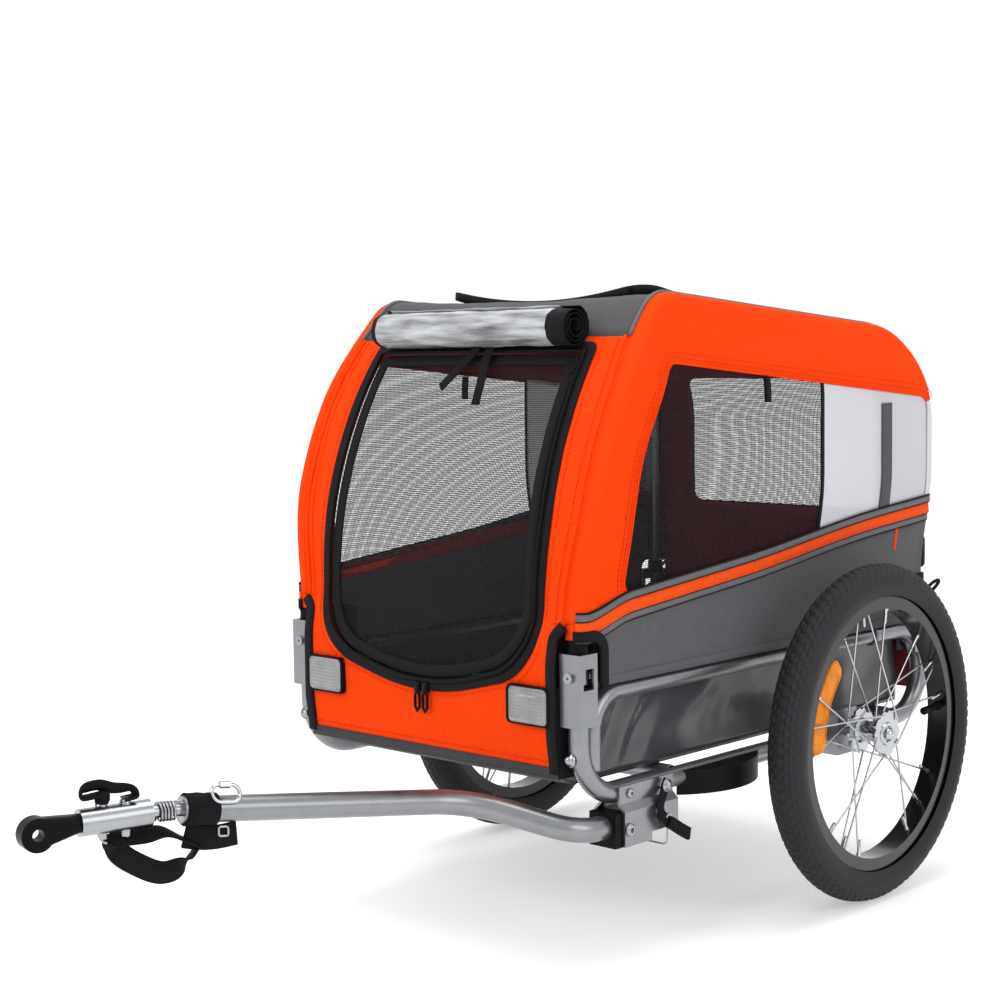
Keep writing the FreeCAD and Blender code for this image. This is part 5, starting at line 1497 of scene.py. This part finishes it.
    def rain_cover(self) -> None:
        """The clear rain cover, rolled up over the door, with its dark edges at both ends."""
        low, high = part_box("rain_cover_roll")
        centre, width = (low + high) / 2, high.x - low.x
        steps, slices = 96, 44
        skin = Skin()
        rows = []
        for x in (low.x + width * i / slices for i in range(slices + 1)):
            row = []
            for share in (k / steps for k in range(steps + 1)):
                radius = self.roll_core + (self.roll_radius - self.roll_core) * share ** 0.8
                turn = math.tau * self.roll_turns * share - 1.2
                along, over = math.cos(turn), math.sin(turn)
                spot = Vector((x, radius * along, radius * over)) + UP * (turn * 0.05)
                spot.x *= 0.3
                radius += ripple(spot, 0.0016, 0.014) * min(1.0, 3 * share)
                put = Vector((x, centre.y + radius * along, centre.z + radius * over))
                row.append(skin.add(put, (x, share)))
            rows.append(row)
        for i, (old, new) in enumerate(zip(rows, rows[1:])):
            skin.strip(old, new, False, 1 if i < 1 or i > 39 else 0)
        made = skin.piece("rain_cover", ROLL_FILM, BINDING)
        self.thicken(made, self.film)
        self.soft(made, "frame", "rain_cover_roll")
        self.area(made) / width

    def reflectors(self) -> None:
        """The grey reflectors in front and the red ones behind, each a lens in a dark frame."""
        low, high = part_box("front_reflectors")
        z, size = (low.z + high.z) / 2, self.front_reflector
        for side in Side:
            at = Vector((side.value * (high.x - size[0] / 2), high.y - self.shape.bow(z), z))
            self.reflector("front", side, at, FRONT, size, GREY_LENS)
        low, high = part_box("rear_reflectors")
        size = (self.rear_reflector, high.z - low.z)
        for side in Side:
            at = Vector((side.value * (high.x - size[0] / 2 - 0.002), low.y, (low.z + high.z) / 2))
            self.reflector("rear", side, at, BACK, size, RED_LENS)

    def reflector(self, end: str, side: Side, at: Vector, out: Vector, size: Pair, lens: Finish) -> None:
        """One reflector: a domed lens with a raised frame.

        Args:
            end: The end of the trailer that it is on.
            side: The side that it is on.
            at: The middle of its back.
            out: The way that it looks.
            size: Its width and height.
            lens: The lens's finish.
        """
        half, tall = size[0] / 2, size[1] / 2

        def place(a: float, b: float, height: float) -> Vector:
            """Puts a flat point on the reflector."""
            return at + ACROSS * a + UP * b + out * height

        outline = oblong((-half, -tall), (half, tall), 0.006, 0.003)
        skin = shell_skin(outline, ((1.0, 0.0, 1), (1.0, 0.0045, 1), (0.97, 0.0062, 1), (0.91, 0.0062, 1),
                                    (0.89, 0.0046, 1), (0.6, 0.0060, 0), (0.3, 0.0066, 0), (0.02, 0.0068, 0)), place)
        skin.face(*range(len(skin.points) - len(outline), len(skin.points)))
        made = skin.piece(f"{end}_reflector_{side.word}", lens, PLASTIC, outward=out)
        self.hard(made, "frame", f"{end}_reflectors")

    def zip_pulls(self) -> None:
        """The two zip pulls at the door's lower edge, each a slider with a looped tab."""
        loop = ((0.0, 0.010), (0.0034, 0.015), (0.0034, 0.028), (0.0, 0.033), (-0.0034, 0.028), (-0.0034, 0.015))
        for side in Side:
            node = f"zip_pull_{side.word}"
            low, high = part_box(node)
            x, y = (low.x + high.x) / 2, high.y - self.shape.bow(high.z)
            skin = Skin()
            top = Vector((x, y - 0.003, high.z))
            ribbon_skin([top, top + DOWN * 0.005, top + DOWN * 0.011], [FRONT] * 3, 0.008, 0.006, skin=skin)
            tube_skin([Vector((x + a, y - 0.0045, high.z - b)) for a, b in loop], 0.0016, True, skin=skin)
            self.hard(skin.piece(f"zip_tab_{side.word}", PLASTIC), node, node)


def paint(looks: dict[Finish, tuple[str, ...]]) -> None:
    """Puts finishes on CAD nodes.

    Args:
        looks: The nodes of each finish.
    """
    for finish, nodes in looks.items():
        for node in nodes:
            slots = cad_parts[node].data.materials
            slots.clear()
            slots.append(finish.material())
            LOG.info("dressed %s as %s", node, finish.name)


@dataclass
class Chassis(Part):
    """The painted tube frame with its brackets, bolts, bumpers and axle receivers."""

    side_x: float = 0.208
    post_y: float = -0.0725
    post_radius: float = 0.011
    post_bolt: float = 0.228
    weld_at: Pair = (0.480, 0.292)
    weld_radius: float = 0.0112
    rear_leg: float = 0.5795
    bracket_top: float = 0.338

    def build(self) -> None:
        """Makes the small pieces on the frame."""
        for side in Side:
            x = side.value * self.side_x
            out = Vector((-0.35 * side.value, -0.937, 0.0))
            at = Vector((x, self.post_y, self.post_bolt)) + out * (self.post_radius - 0.0012)
            bolt = lathe_skin([(0.0001, 0.0068), (0.0028, 0.0062), (0.0047, 0.0042), (0.0050, 0.0020),
                               (0.0076, 0.0017), (0.0079, 0.0005), (0.0079, -0.001)], at, out, 24)
            self.hard(bolt.piece(f"post_rivet_{side.word}", STEEL), "frame")
            (y, z), reach = self.weld_at, self.weld_radius
            ring = [Vector((x + reach * math.cos(t), y, z + reach * math.sin(t))) for t in turns(28)]
            self.hard(tube_skin(ring, 0.0018, True, 6).piece(f"rail_weld_{side.word}", PAINT), "frame")
            self.hinge_trims(side)

    def hinge_trims(self, side: Side) -> None:
        """The dark cuffs where the arches leave their brackets, and the rear pull loop.

        Args:
            side: The side that they are on.
        """
        s = side.value
        skin = Skin()
        for y in (self.post_y, self.rear_leg):
            lathe_skin([(0.0083, -0.004), (0.0104, -0.004), (0.0108, 0.0), (0.0102, 0.010), (0.0094, 0.0125),
                        (0.0083, 0.0125)], Vector((s * self.side_x, y, self.bracket_top)), UP, 28, skin=skin)
        self.hard(skin.piece(f"arch_cuffs_{side.word}", PLASTIC), f"arch_{side.word}")
        waves = [(math.cos(t), math.sin(t)) for t in turns(28)]
        loop = [Vector((s * 0.2215, 0.6040 + 0.0185 * a, 0.3410 + 0.0065 * a + 0.0045 * b)) for a, b in waves]
        self.hard(tube_skin(loop, 0.0022, True).piece(f"pull_loop_{side.word}", WEBBING), "frame")

    def dress(self) -> None:
        """Gives the frame's CAD pieces their finishes."""
        paint({
            PAINT: ("side_tube_left", "side_tube_right", "upper_rails", "cross_tubes", "hinge_brackets", "arch_left",
                    "arch_right", "axle_receivers", "bracket_plates"),
            STEEL: ("hinge_bolts", "bracket_bolts", "drawbar_pivot_bolt", "wheel_axles", "lock_pin", "lock_pin_ring"),
            BOARD: ("floor_board",),
            PLASTIC: ("rail_bumpers",),
        })


@dataclass
class Wheel(Part):
    """One spoked wheel: treaded tyre, rim, spokes with nipples, hub, valve and reflector."""

    side: Side
    centre: Vector
    outer: float = 0.198
    section: float = 0.023
    lining: float = 0.0185
    tread: float = 0.0014
    ridge: float = 0.0006
    blocks: int = 96
    block: float = 0.66
    rows: int = 4
    row_span: float = 16.5
    groove: float = 3.4
    rim_inner: float = 0.146
    flange: float = 0.027
    lamp_radius: float = 0.117
    lamp_half: Pair = (0.055, 0.013)
    lamp_turn: float = math.radians(157.0)
    valve_turn: float = math.radians(4.0)
    RIDGES: ClassVar[tuple[Pair, ...]] = ((82.0, 88.0), (104.0, 110.0))

    def build(self) -> None:
        """Makes the wheel's pieces."""
        self.body = f"wheel_{self.side.word}"
        self.tyre()
        self.hub()
        self.nipples()
        self.valve()
        self.lamp()

    def dress(self) -> None:
        """Gives the wheel's CAD pieces their finishes."""
        word = self.side.word
        paint({RIM: (f"rim_{word}",), CHROME: (f"spokes_{word}", f"hub_button_{word}"),
               STEEL: (f"hub_bearings_{word}",)})

    def tyre(self) -> None:
        """The tyre, with rows of tread blocks and ridges on its walls."""
        count = 47
        middle, base = self.outer - self.section, self.section - self.tread
        angles = [math.radians(-131.0 + 262.0 * k / (count - 1)) for k in range(count)]
        outside = [(middle + base * math.cos(a), base * math.sin(a)) for a in angles]
        inside = [(middle + self.lining * math.cos(a), self.lining * math.sin(a)) for a in reversed(angles[::4])]

        def knob(turn: float, k: int) -> float:
            """The height of the tread at an angle round the wheel.

            Args:
                turn: The angle.
                k: The number of the point in the section.

            Returns:
                The height.
            """
            if k >= count:
                return 0.0
            lean = abs(math.degrees(angles[k]))
            if lean > self.rows * self.row_span:
                return self.ridge if any(low < lean < high for low, high in self.RIDGES) else 0.0
            row = int(lean / self.row_span)
            if lean - row * self.row_span < self.groove and row > 0:
                return 0.0
            phase = (turn * self.blocks / math.tau + 0.5 * row + (0.25 if angles[k] < 0 else 0.0)) % 1.0
            return self.tread if phase < self.block else 0.0

        skin = lathe_skin(outside + inside, self.centre, self.side.out, 576, knob, loop=True)
        self.hard(skin.piece(f"tread_{self.side.word}", TYRE, smooth=False), self.body, f"tyre_{self.side.word}")

    def hub(self) -> None:
        """The hub, with notched flanges."""
        rim = self.flange
        half = [(0.0115, 0.0), (0.0125, 0.0120), (0.0150, 0.0154), (rim, 0.0155), (rim, 0.0185), (0.0140, 0.0186),
                (0.0130, 0.0205), (0.0096, 0.0205)]
        section = [(r, -d) for r, d in half[:0:-1]] + half

        def notch(turn: float, k: int) -> float:
            """How far the flange is cut back between the spokes."""
            return -0.0030 * max(0.0, math.cos(turn * 10) - 0.2) if section[k][0] >= rim else 0.0

        skin = lathe_skin(section, self.centre, self.side.out, 120, notch)
        self.hard(skin.piece(f"hub_shell_{self.side.word}", CHROME, smooth=False), self.body,
                  f"hub_{self.side.word}")

    def spoke_ends(self) -> list[Vector]:
        """Finds where the spokes meet the rim, from the CAD spokes.

        Returns:
            The middle of each spoke's outer end.
        """
        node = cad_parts[f"spokes_{self.side.word}"]
        groups: dict[int, list[Vector]] = {}
        for vertex in node.data.vertices:
            point = node.matrix_world @ vertex.co
            arm = point - self.centre
            if Vector((arm.y, arm.z)).length > self.rim_inner - 0.003:
                groups.setdefault(round(math.degrees(math.atan2(arm.z, arm.y)) / 9), []).append(point)
        return [sum(g, Vector()) / len(g) for g in groups.values()]

    def nipples(self) -> None:
        """The long nipples at the spokes' outer ends."""
        skin = Skin()
        for end in self.spoke_ends():
            arm = end - self.centre
            inward = -Vector((0.0, arm.y, arm.z)).normalized()
            lathe_skin([(0.0001, 0.019), (0.0016, 0.019), (0.0021, 0.016), (0.0021, 0.004), (0.0032, 0.002),
                        (0.0032, -0.002)], end, inward, 10, skin=skin)
        self.hard(skin.piece(f"nipples_{self.side.word}", CHROME), self.body)

    def valve(self) -> None:
        """The tube's valve, through the rim towards the hub."""
        out = Vector((0.0, math.cos(self.valve_turn), math.sin(self.valve_turn)))
        skin = lathe_skin([(0.0060, -0.002), (0.0052, 0.003), (0.0042, 0.006), (0.0040, 0.022), (0.0047, 0.0225),
                           (0.0047, 0.033), (0.0036, 0.035), (0.0001, 0.035)], self.centre + out * self.rim_inner,
                          -out, 18)
        self.hard(skin.piece(f"valve_{self.side.word}", PLASTIC), self.body)

    def lamp(self) -> None:
        """The amber reflector between the spokes: a curved bar with round ends."""
        half, tall = self.lamp_half

        def place(a: float, b: float, height: float) -> Vector:
            """Bends a flat point round the wheel's middle."""
            turn, radius = self.lamp_turn + a / self.lamp_radius, self.lamp_radius + b
            return self.centre + Vector((self.side.value * height, radius * math.cos(turn), radius * math.sin(turn)))

        skin = shell_skin(oblong((-half, -tall), (half, tall), 0.0100, 0.003), [
            (share, height, 0) for share, height in (
                (0.02, -0.0040), (0.85, -0.0038), (1.0, -0.0022), (1.0, 0.0022), (0.93, 0.0036), (0.80, 0.0038),
                (0.78, 0.0030), (0.4, 0.0032), (0.02, 0.0034))], place)
        self.hard(skin.piece(f"spoke_lamp_{self.side.word}", AMBER_LENS, smooth=False), self.body,
                  f"spoke_reflector_{self.side.word}")


@dataclass
class Drawbar(Part):
    """The bent drawbar with its lock, safety strap, spring, sleeve and hitch eye."""

    tip: Vector = field(default_factory=lambda: Vector((0.034, -0.449, 0.218)))
    bar: Vector = field(default_factory=lambda: Vector((-0.2337, -0.9656, 0.1138)))
    head: Vector = field(default_factory=lambda: Vector((-0.2352, -0.9719, 0.0)))
    cross: Vector = field(default_factory=lambda: Vector((-0.9719, 0.2352, 0.0)))
    sleeve: Vector = field(default_factory=lambda: Vector((0.0265, -0.4800, 0.21982)))
    hitch_pin: Vector = field(default_factory=lambda: Vector((0.015675, -0.52471, 0.2430)))
    lock_bolt: Vector = field(default_factory=lambda: Vector((0.2255, 0.0470, 0.1830)))
    lock_pin: Vector = field(default_factory=lambda: Vector((0.2330, 0.0390, 0.1490)))
    strap_start: Vector = field(default_factory=lambda: Vector((0.0382, -0.4316, 0.21595 - 0.0163)))
    bolt_step: float = 0.024
    strap_width: float = 0.022
    strap_thick: float = 0.002
    tether_width: float = 0.013
    tail_width: float = 0.014
    tube_radius: float = 0.013
    STRAP: ClassVar[tuple[Pair, ...]] = ((1, 18), (8, 27), (16, 33), (30, 39), (46, 37), (70, 23), (84, 11), (88, 4),
                                         (80, 0.5), (57, 1), (36, 0), (15, 11), (4, 17))

    def build(self) -> None:
        """Makes the straps and small hardware of the drawbar."""
        self.strap()
        self.band()
        self.sleeve_bolts()
        self.pin_tether()
        self.lock_tether()

    def dress(self) -> None:
        """Gives the drawbar's CAD pieces their finishes."""
        paint({
            PAINT: ("drawbar_tube",),
            STEEL: ("coupler_sleeve", "coupler_spring", "coupler_ball", "drawbar_end_plug", "hitch_pin",
                    "hitch_pin_ring"),
            BLACK_STEEL: ("hitch_eye",),
            PLASTIC: ("drawbar_block",),
        })

    def twisted(self, points: Sequence[Vector], steps: Sequence[Pair]) -> list[Vector]:
        """Turns a strap's face from across its path towards the side.

        Args:
            points: The strap's path.
            steps: How far it is turned, by its share of the path.

        Returns:
            The way that the strap looks at each point.
        """
        looks = []
        for k, head in enumerate(directions(points)):
            turned = between(k / len(points), steps)
            looks.append(head.cross(self.cross).normalized().lerp(-self.cross, turned).normalized())
        return looks

    def strap(self) -> None:
        """The safety strap that hangs in a loop under the coupler and turns its face at the bottom."""
        points = smooth_path([self.strap_start + self.head * (a * MM) - UP * (b * MM) for a, b in self.STRAP])
        looks = self.twisted(points, ((0.10, 0.2), (0.25, 1.0), (0.42, 1.0), (0.54, 0.4), (0.75, 0.35), (0.9, 0.1)))
        made = ribbon_skin(points, looks, self.strap_width, self.strap_thick).piece("strap", WEBBING)
        self.hard(made, "drawbar", "safety_strap")
        self.hang(made, points, self.strap_width, "strap_wrap")

    def band(self) -> None:
        """The webbing round the tube that holds the strap, its folded end and the quick link on the tube."""
        outer, bar = self.tube_radius, self.bar
        wrap = [(0.0003, -0.017), (0.0026, -0.017), (0.0030, -0.013), (0.0024, -0.005), (0.0031, 0.002),
                (0.0025, 0.010), (0.0029, 0.015), (0.0003, 0.016)]
        skin = lathe_skin([(outer + rise, d) for rise, d in wrap], self.tip - bar * 0.018, bar, 40)
        self.hard(skin.piece("strap_wrap", WEBBING), "drawbar", "strap_band")
        fold = [self.tip - bar * d - UP * (0.0245 + 0.003 * math.sin(d * 60.0)) - self.cross * 0.002
                for d in (0.002, 0.010, 0.018, 0.026, 0.034, 0.042, 0.050, 0.056)]
        skin = ribbon_skin(smooth_path(fold, 4), [-self.cross] * 29, 0.024, 0.0045)
        self.hard(skin.piece("strap_fold", WEBBING), "drawbar", "strap_band")
        slot = self.tip - bar * 0.041 - UP * 0.021 - self.cross * 0.0055
        ring = [slot + bar * a + UP * b for a, b in oblong((-0.005, -0.0045), (0.005, 0.0045), 0.002, 0.002)]
        self.hard(tube_skin(ring, 0.0014, True).piece("strap_buckle", STEEL), "drawbar", "strap_band")
        lean = (UP * 0.91 + self.cross * 0.41).normalized()
        middle = self.tip - bar * 0.043 + UP * (outer + 0.0035) - self.cross * 0.0092
        ring = [middle + bar * a + lean * b for a, b in oblong((-0.0145, -0.0085), (0.0145, 0.0085), 0.008, 0.002)]
        self.hard(tube_skin(ring, 0.0020, True, 10).piece("quick_link", CHROME), "drawbar", "strap_band")
        nut = lathe_skin([(0.0021, -0.0055), (0.0037, -0.0055), (0.0037, 0.0055), (0.0021, 0.0055)],
                         middle + lean * 0.0085, bar, 6)
        self.hard(nut.piece("quick_link_nut", CHROME, smooth=False), "drawbar", "strap_band")

    def sleeve_bolts(self) -> None:
        """The bolt through the sleeve's rear, with its head above and nut below."""
        at = self.sleeve + self.head * self.bolt_step
        skin = Skin()
        lathe_skin([(0.0001, 0.0050), (0.0030, 0.0046), (0.0052, 0.0020), (0.0056, -0.0020)],
                   at + UP * 0.0135, UP, 24, skin=skin)
        lathe_skin([(0.0001, 0.0065), (0.0052, 0.0062), (0.0056, 0.0050), (0.0056, -0.0010)],
                   at - UP * 0.0130, DOWN, 6, skin=skin)
        self.hard(skin.piece("sleeve_bolt", STEEL), "coupler")

    def pin_tether(self) -> None:
        """The webbing loop from the sleeve's bolt to the hitch pin, with its knot."""
        rear, pin = self.sleeve + self.head * self.bolt_step + UP * 0.0165, self.hitch_pin
        points = smooth_path([at + self.head * a + UP * b for at, a, b in (
            (rear, 0.002, 0.0), (rear, -0.010, 0.002), (rear, -0.006, 0.009), (rear, 0.012, 0.012),
            (pin, 0.004, 0.010), (pin, 0.018, 0.008), (pin, 0.020, 0.0), (pin, 0.0, 0.001))])
        looks = self.twisted(points, ((0.15, 0.1), (0.40, 0.6), (0.65, 0.6), (0.9, 0.1)))
        made = ribbon_skin(points, looks, self.tether_width, 0.0024).piece("pin_tether", WEBBING)
        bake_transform(made)
        self.hang(made, points, self.tether_width, "sleeve_bolt")
        section = [(0.0001, 0.0042), (0.0040, 0.0036), (0.0066, 0.0010), (0.0070, -0.0045), (0.0058, -0.0082)]
        knot = lathe_skin(section, pin, UP, 20, lambda turn, k: 0.0007 * math.sin(3.0 * turn + k))
        self.hard(knot.piece("tether_knot", WEBBING), "hitch_pin")

    def lock_tether(self) -> None:
        """The webbing tether from the bracket's rear bolt to the lock pin, with its bolt and tail."""
        top, pin = self.lock_bolt, self.lock_pin
        points = smooth_path([at + Vector(step) for at, step in (
            (top, (0.002, 0.002, 0.006)), (top, (0.003, -0.005, -0.006)), (top, (0.007, -0.016, -0.018)),
            (pin, (0.004, -0.010, 0.006)), (pin, (0.004, -0.001, -0.003)))])
        looks = [Vector((1.0, 0.1, 0.1)).normalized()] * len(points)
        made = ribbon_skin(points, looks, self.tether_width, 0.0020).piece("lock_tether", WEBBING)
        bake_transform(made)
        self.hang(made, points, self.tether_width, "bracket_bolts")
        bolt = lathe_skin([(0.0001, 0.0030), (0.0030, 0.0026), (0.0048, 0.0010), (0.0050, -0.0010), (0.0072, -0.0012),
                           (0.0072, -0.0030)], top + ACROSS * 0.0055, ACROSS, 20)
        self.hard(bolt.piece("tether_bolt", STEEL), "frame")
        tail = smooth_path([pin + Vector(step) for step in (
            (0.0065, -0.002, -0.002), (0.0115, 0.010, -0.011), (0.0125, 0.024, -0.019))])
        looks = [Vector((1.0, 0.15, 0.2)).normalized()] * len(tail)
        made = ribbon_skin(tail, looks, self.tail_width, 0.0050).piece("lock_tail", WEBBING)
        self.hard(made, "lock_pin")
        self.hang(made, tail, self.tail_width, "lock_tether")


@dataclass
class Studio:
    """The floor, lights and camera."""

    eye: Vector = field(default_factory=lambda: Vector((1.474, -1.5397, 0.6459)))
    aim: Vector = field(default_factory=lambda: Vector((0.0, 0.1, 0.35)))
    azimuth: float = math.radians(43.1)
    dip: float = math.radians(4.4)
    roll: float = math.radians(-0.7)
    lens: float = 68.6
    sensor: float = 36.0
    floor_level: Pair = (0.0, 0.36)
    world_level: Pair = (0.75, 1.0)

    def build(self) -> None:
        """Sets up the stage round the object."""
        self.floor()
        self.world()
        self.lights()
        self.camera()
        bpy.context.scene.view_settings.view_transform = "Standard"

    def floor(self) -> None:
        """A pale floor that keeps the object's shadow."""
        skin = Skin()
        rings = [[skin.add(Vector((r * math.cos(t), r * math.sin(t), 0.0)), (r, t)) for t in turns(64)]
                 for r in (0.01, 1.0, 4.0, 14.0)]
        skin.join(rings, True)
        skin.face(*reversed(rings[0]))
        made = skin.piece("floor", outward=UP)
        look = bpy.data.materials.new("pale_floor")
        look.use_nodes = True
        tree = look.node_tree
        plug(tree, tree.nodes["Principled BSDF"], {
            "Base Color": (0.9, 0.9, 0.9, 1.0), "Roughness": 0.9, "Emission Color": (1.0, 1.0, 1.0, 1.0),
            "Emission Strength": self.seen(tree, *self.floor_level)})
        made.data.materials.append(look)

    def world(self) -> None:
        """A white surround for the camera and mirrors, and a softer one for light."""
        world = bpy.data.worlds.new("surround")
        bpy.context.scene.world = world
        world.use_nodes = True
        tree = world.node_tree
        plug(tree, tree.nodes["Background"], {"Color": (1.0, 1.0, 1.0, 1.0),
                                              "Strength": self.seen(tree, *self.world_level)})

    def seen(self, tree: Tree, low: float, high: float) -> Socket:
        """Tells what is seen, straight or in metal and glass, from what only lights the object.

        Args:
            tree: The node tree to add to.
            low: The level for light.
            high: The level for sight.

        Returns:
            The level.
        """
        rays = tree.nodes.new("ShaderNodeLightPath").outputs
        sight = combine(tree, "MAXIMUM", rays["Is Camera Ray"], rays["Is Glossy Ray"])
        sight = combine(tree, "MAXIMUM", sight, rays["Is Transmission Ray"])
        return add_node(tree, "MapRange", {"Value": sight, "To Min": low, "To Max": high}).outputs["Result"]

    def lights(self) -> None:
        """Soft lamps: a key over the camera's left, a fill at its right and one from above."""
        for name, at, size, power in (("key", Vector((-0.6, -2.6, 2.2)), 1.8, 30.0),
                                      ("fill", Vector((2.8, 0.2, 1.5)), 1.8, 16.0),
                                      ("top", Vector((0.0, 0.3, 3.0)), 2.2, 34.0)):
            lamp = bpy.data.lights.new(name, "AREA")
            lamp.shape = "DISK"
            lamp.size = size
            lamp.energy = power
            made = bpy.data.objects.new(name, lamp)
            made.location = at
            made.rotation_mode = "QUATERNION"
            made.rotation_quaternion = (self.aim - at).to_track_quat("-Z", "Y")
            bpy.context.scene.collection.objects.link(made)

    def camera(self) -> None:
        """The camera at the photograph's angle."""
        az, dip, roll = self.azimuth, self.dip, self.roll
        right = Vector((math.cos(az), math.sin(az), 0.0))
        ahead = Vector((-math.sin(az) * math.cos(dip), math.cos(az) * math.cos(dip), -math.sin(dip)))
        up = right.cross(ahead)
        across = right * math.cos(roll) + up * math.sin(roll)
        over = up * math.cos(roll) - right * math.sin(roll)
        data = bpy.data.cameras.new("camera")
        data.lens = self.lens
        data.sensor_width = self.sensor
        made = bpy.data.objects.new("camera", data)
        made.matrix_world = Matrix((across, over, -ahead)).transposed().to_4x4()
        made.location = self.eye
        bpy.context.scene.collection.objects.link(made)
        bpy.context.scene.camera = made


def main() -> None:
    """Builds the trailer and its stage."""
    logging.basicConfig(level=logging.INFO, format="%(name)s %(message)s")
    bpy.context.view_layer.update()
    Cabin().build()
    parts = [Chassis(), Drawbar()]
    x, y, z = WHEEL_AT
    parts += [Wheel(side, Vector((side.value * x, y, z))) for side in Side]
    for part in parts:
        part.build()
        part.dress()
    Studio().build()


if __name__ == "__main__":
    main()
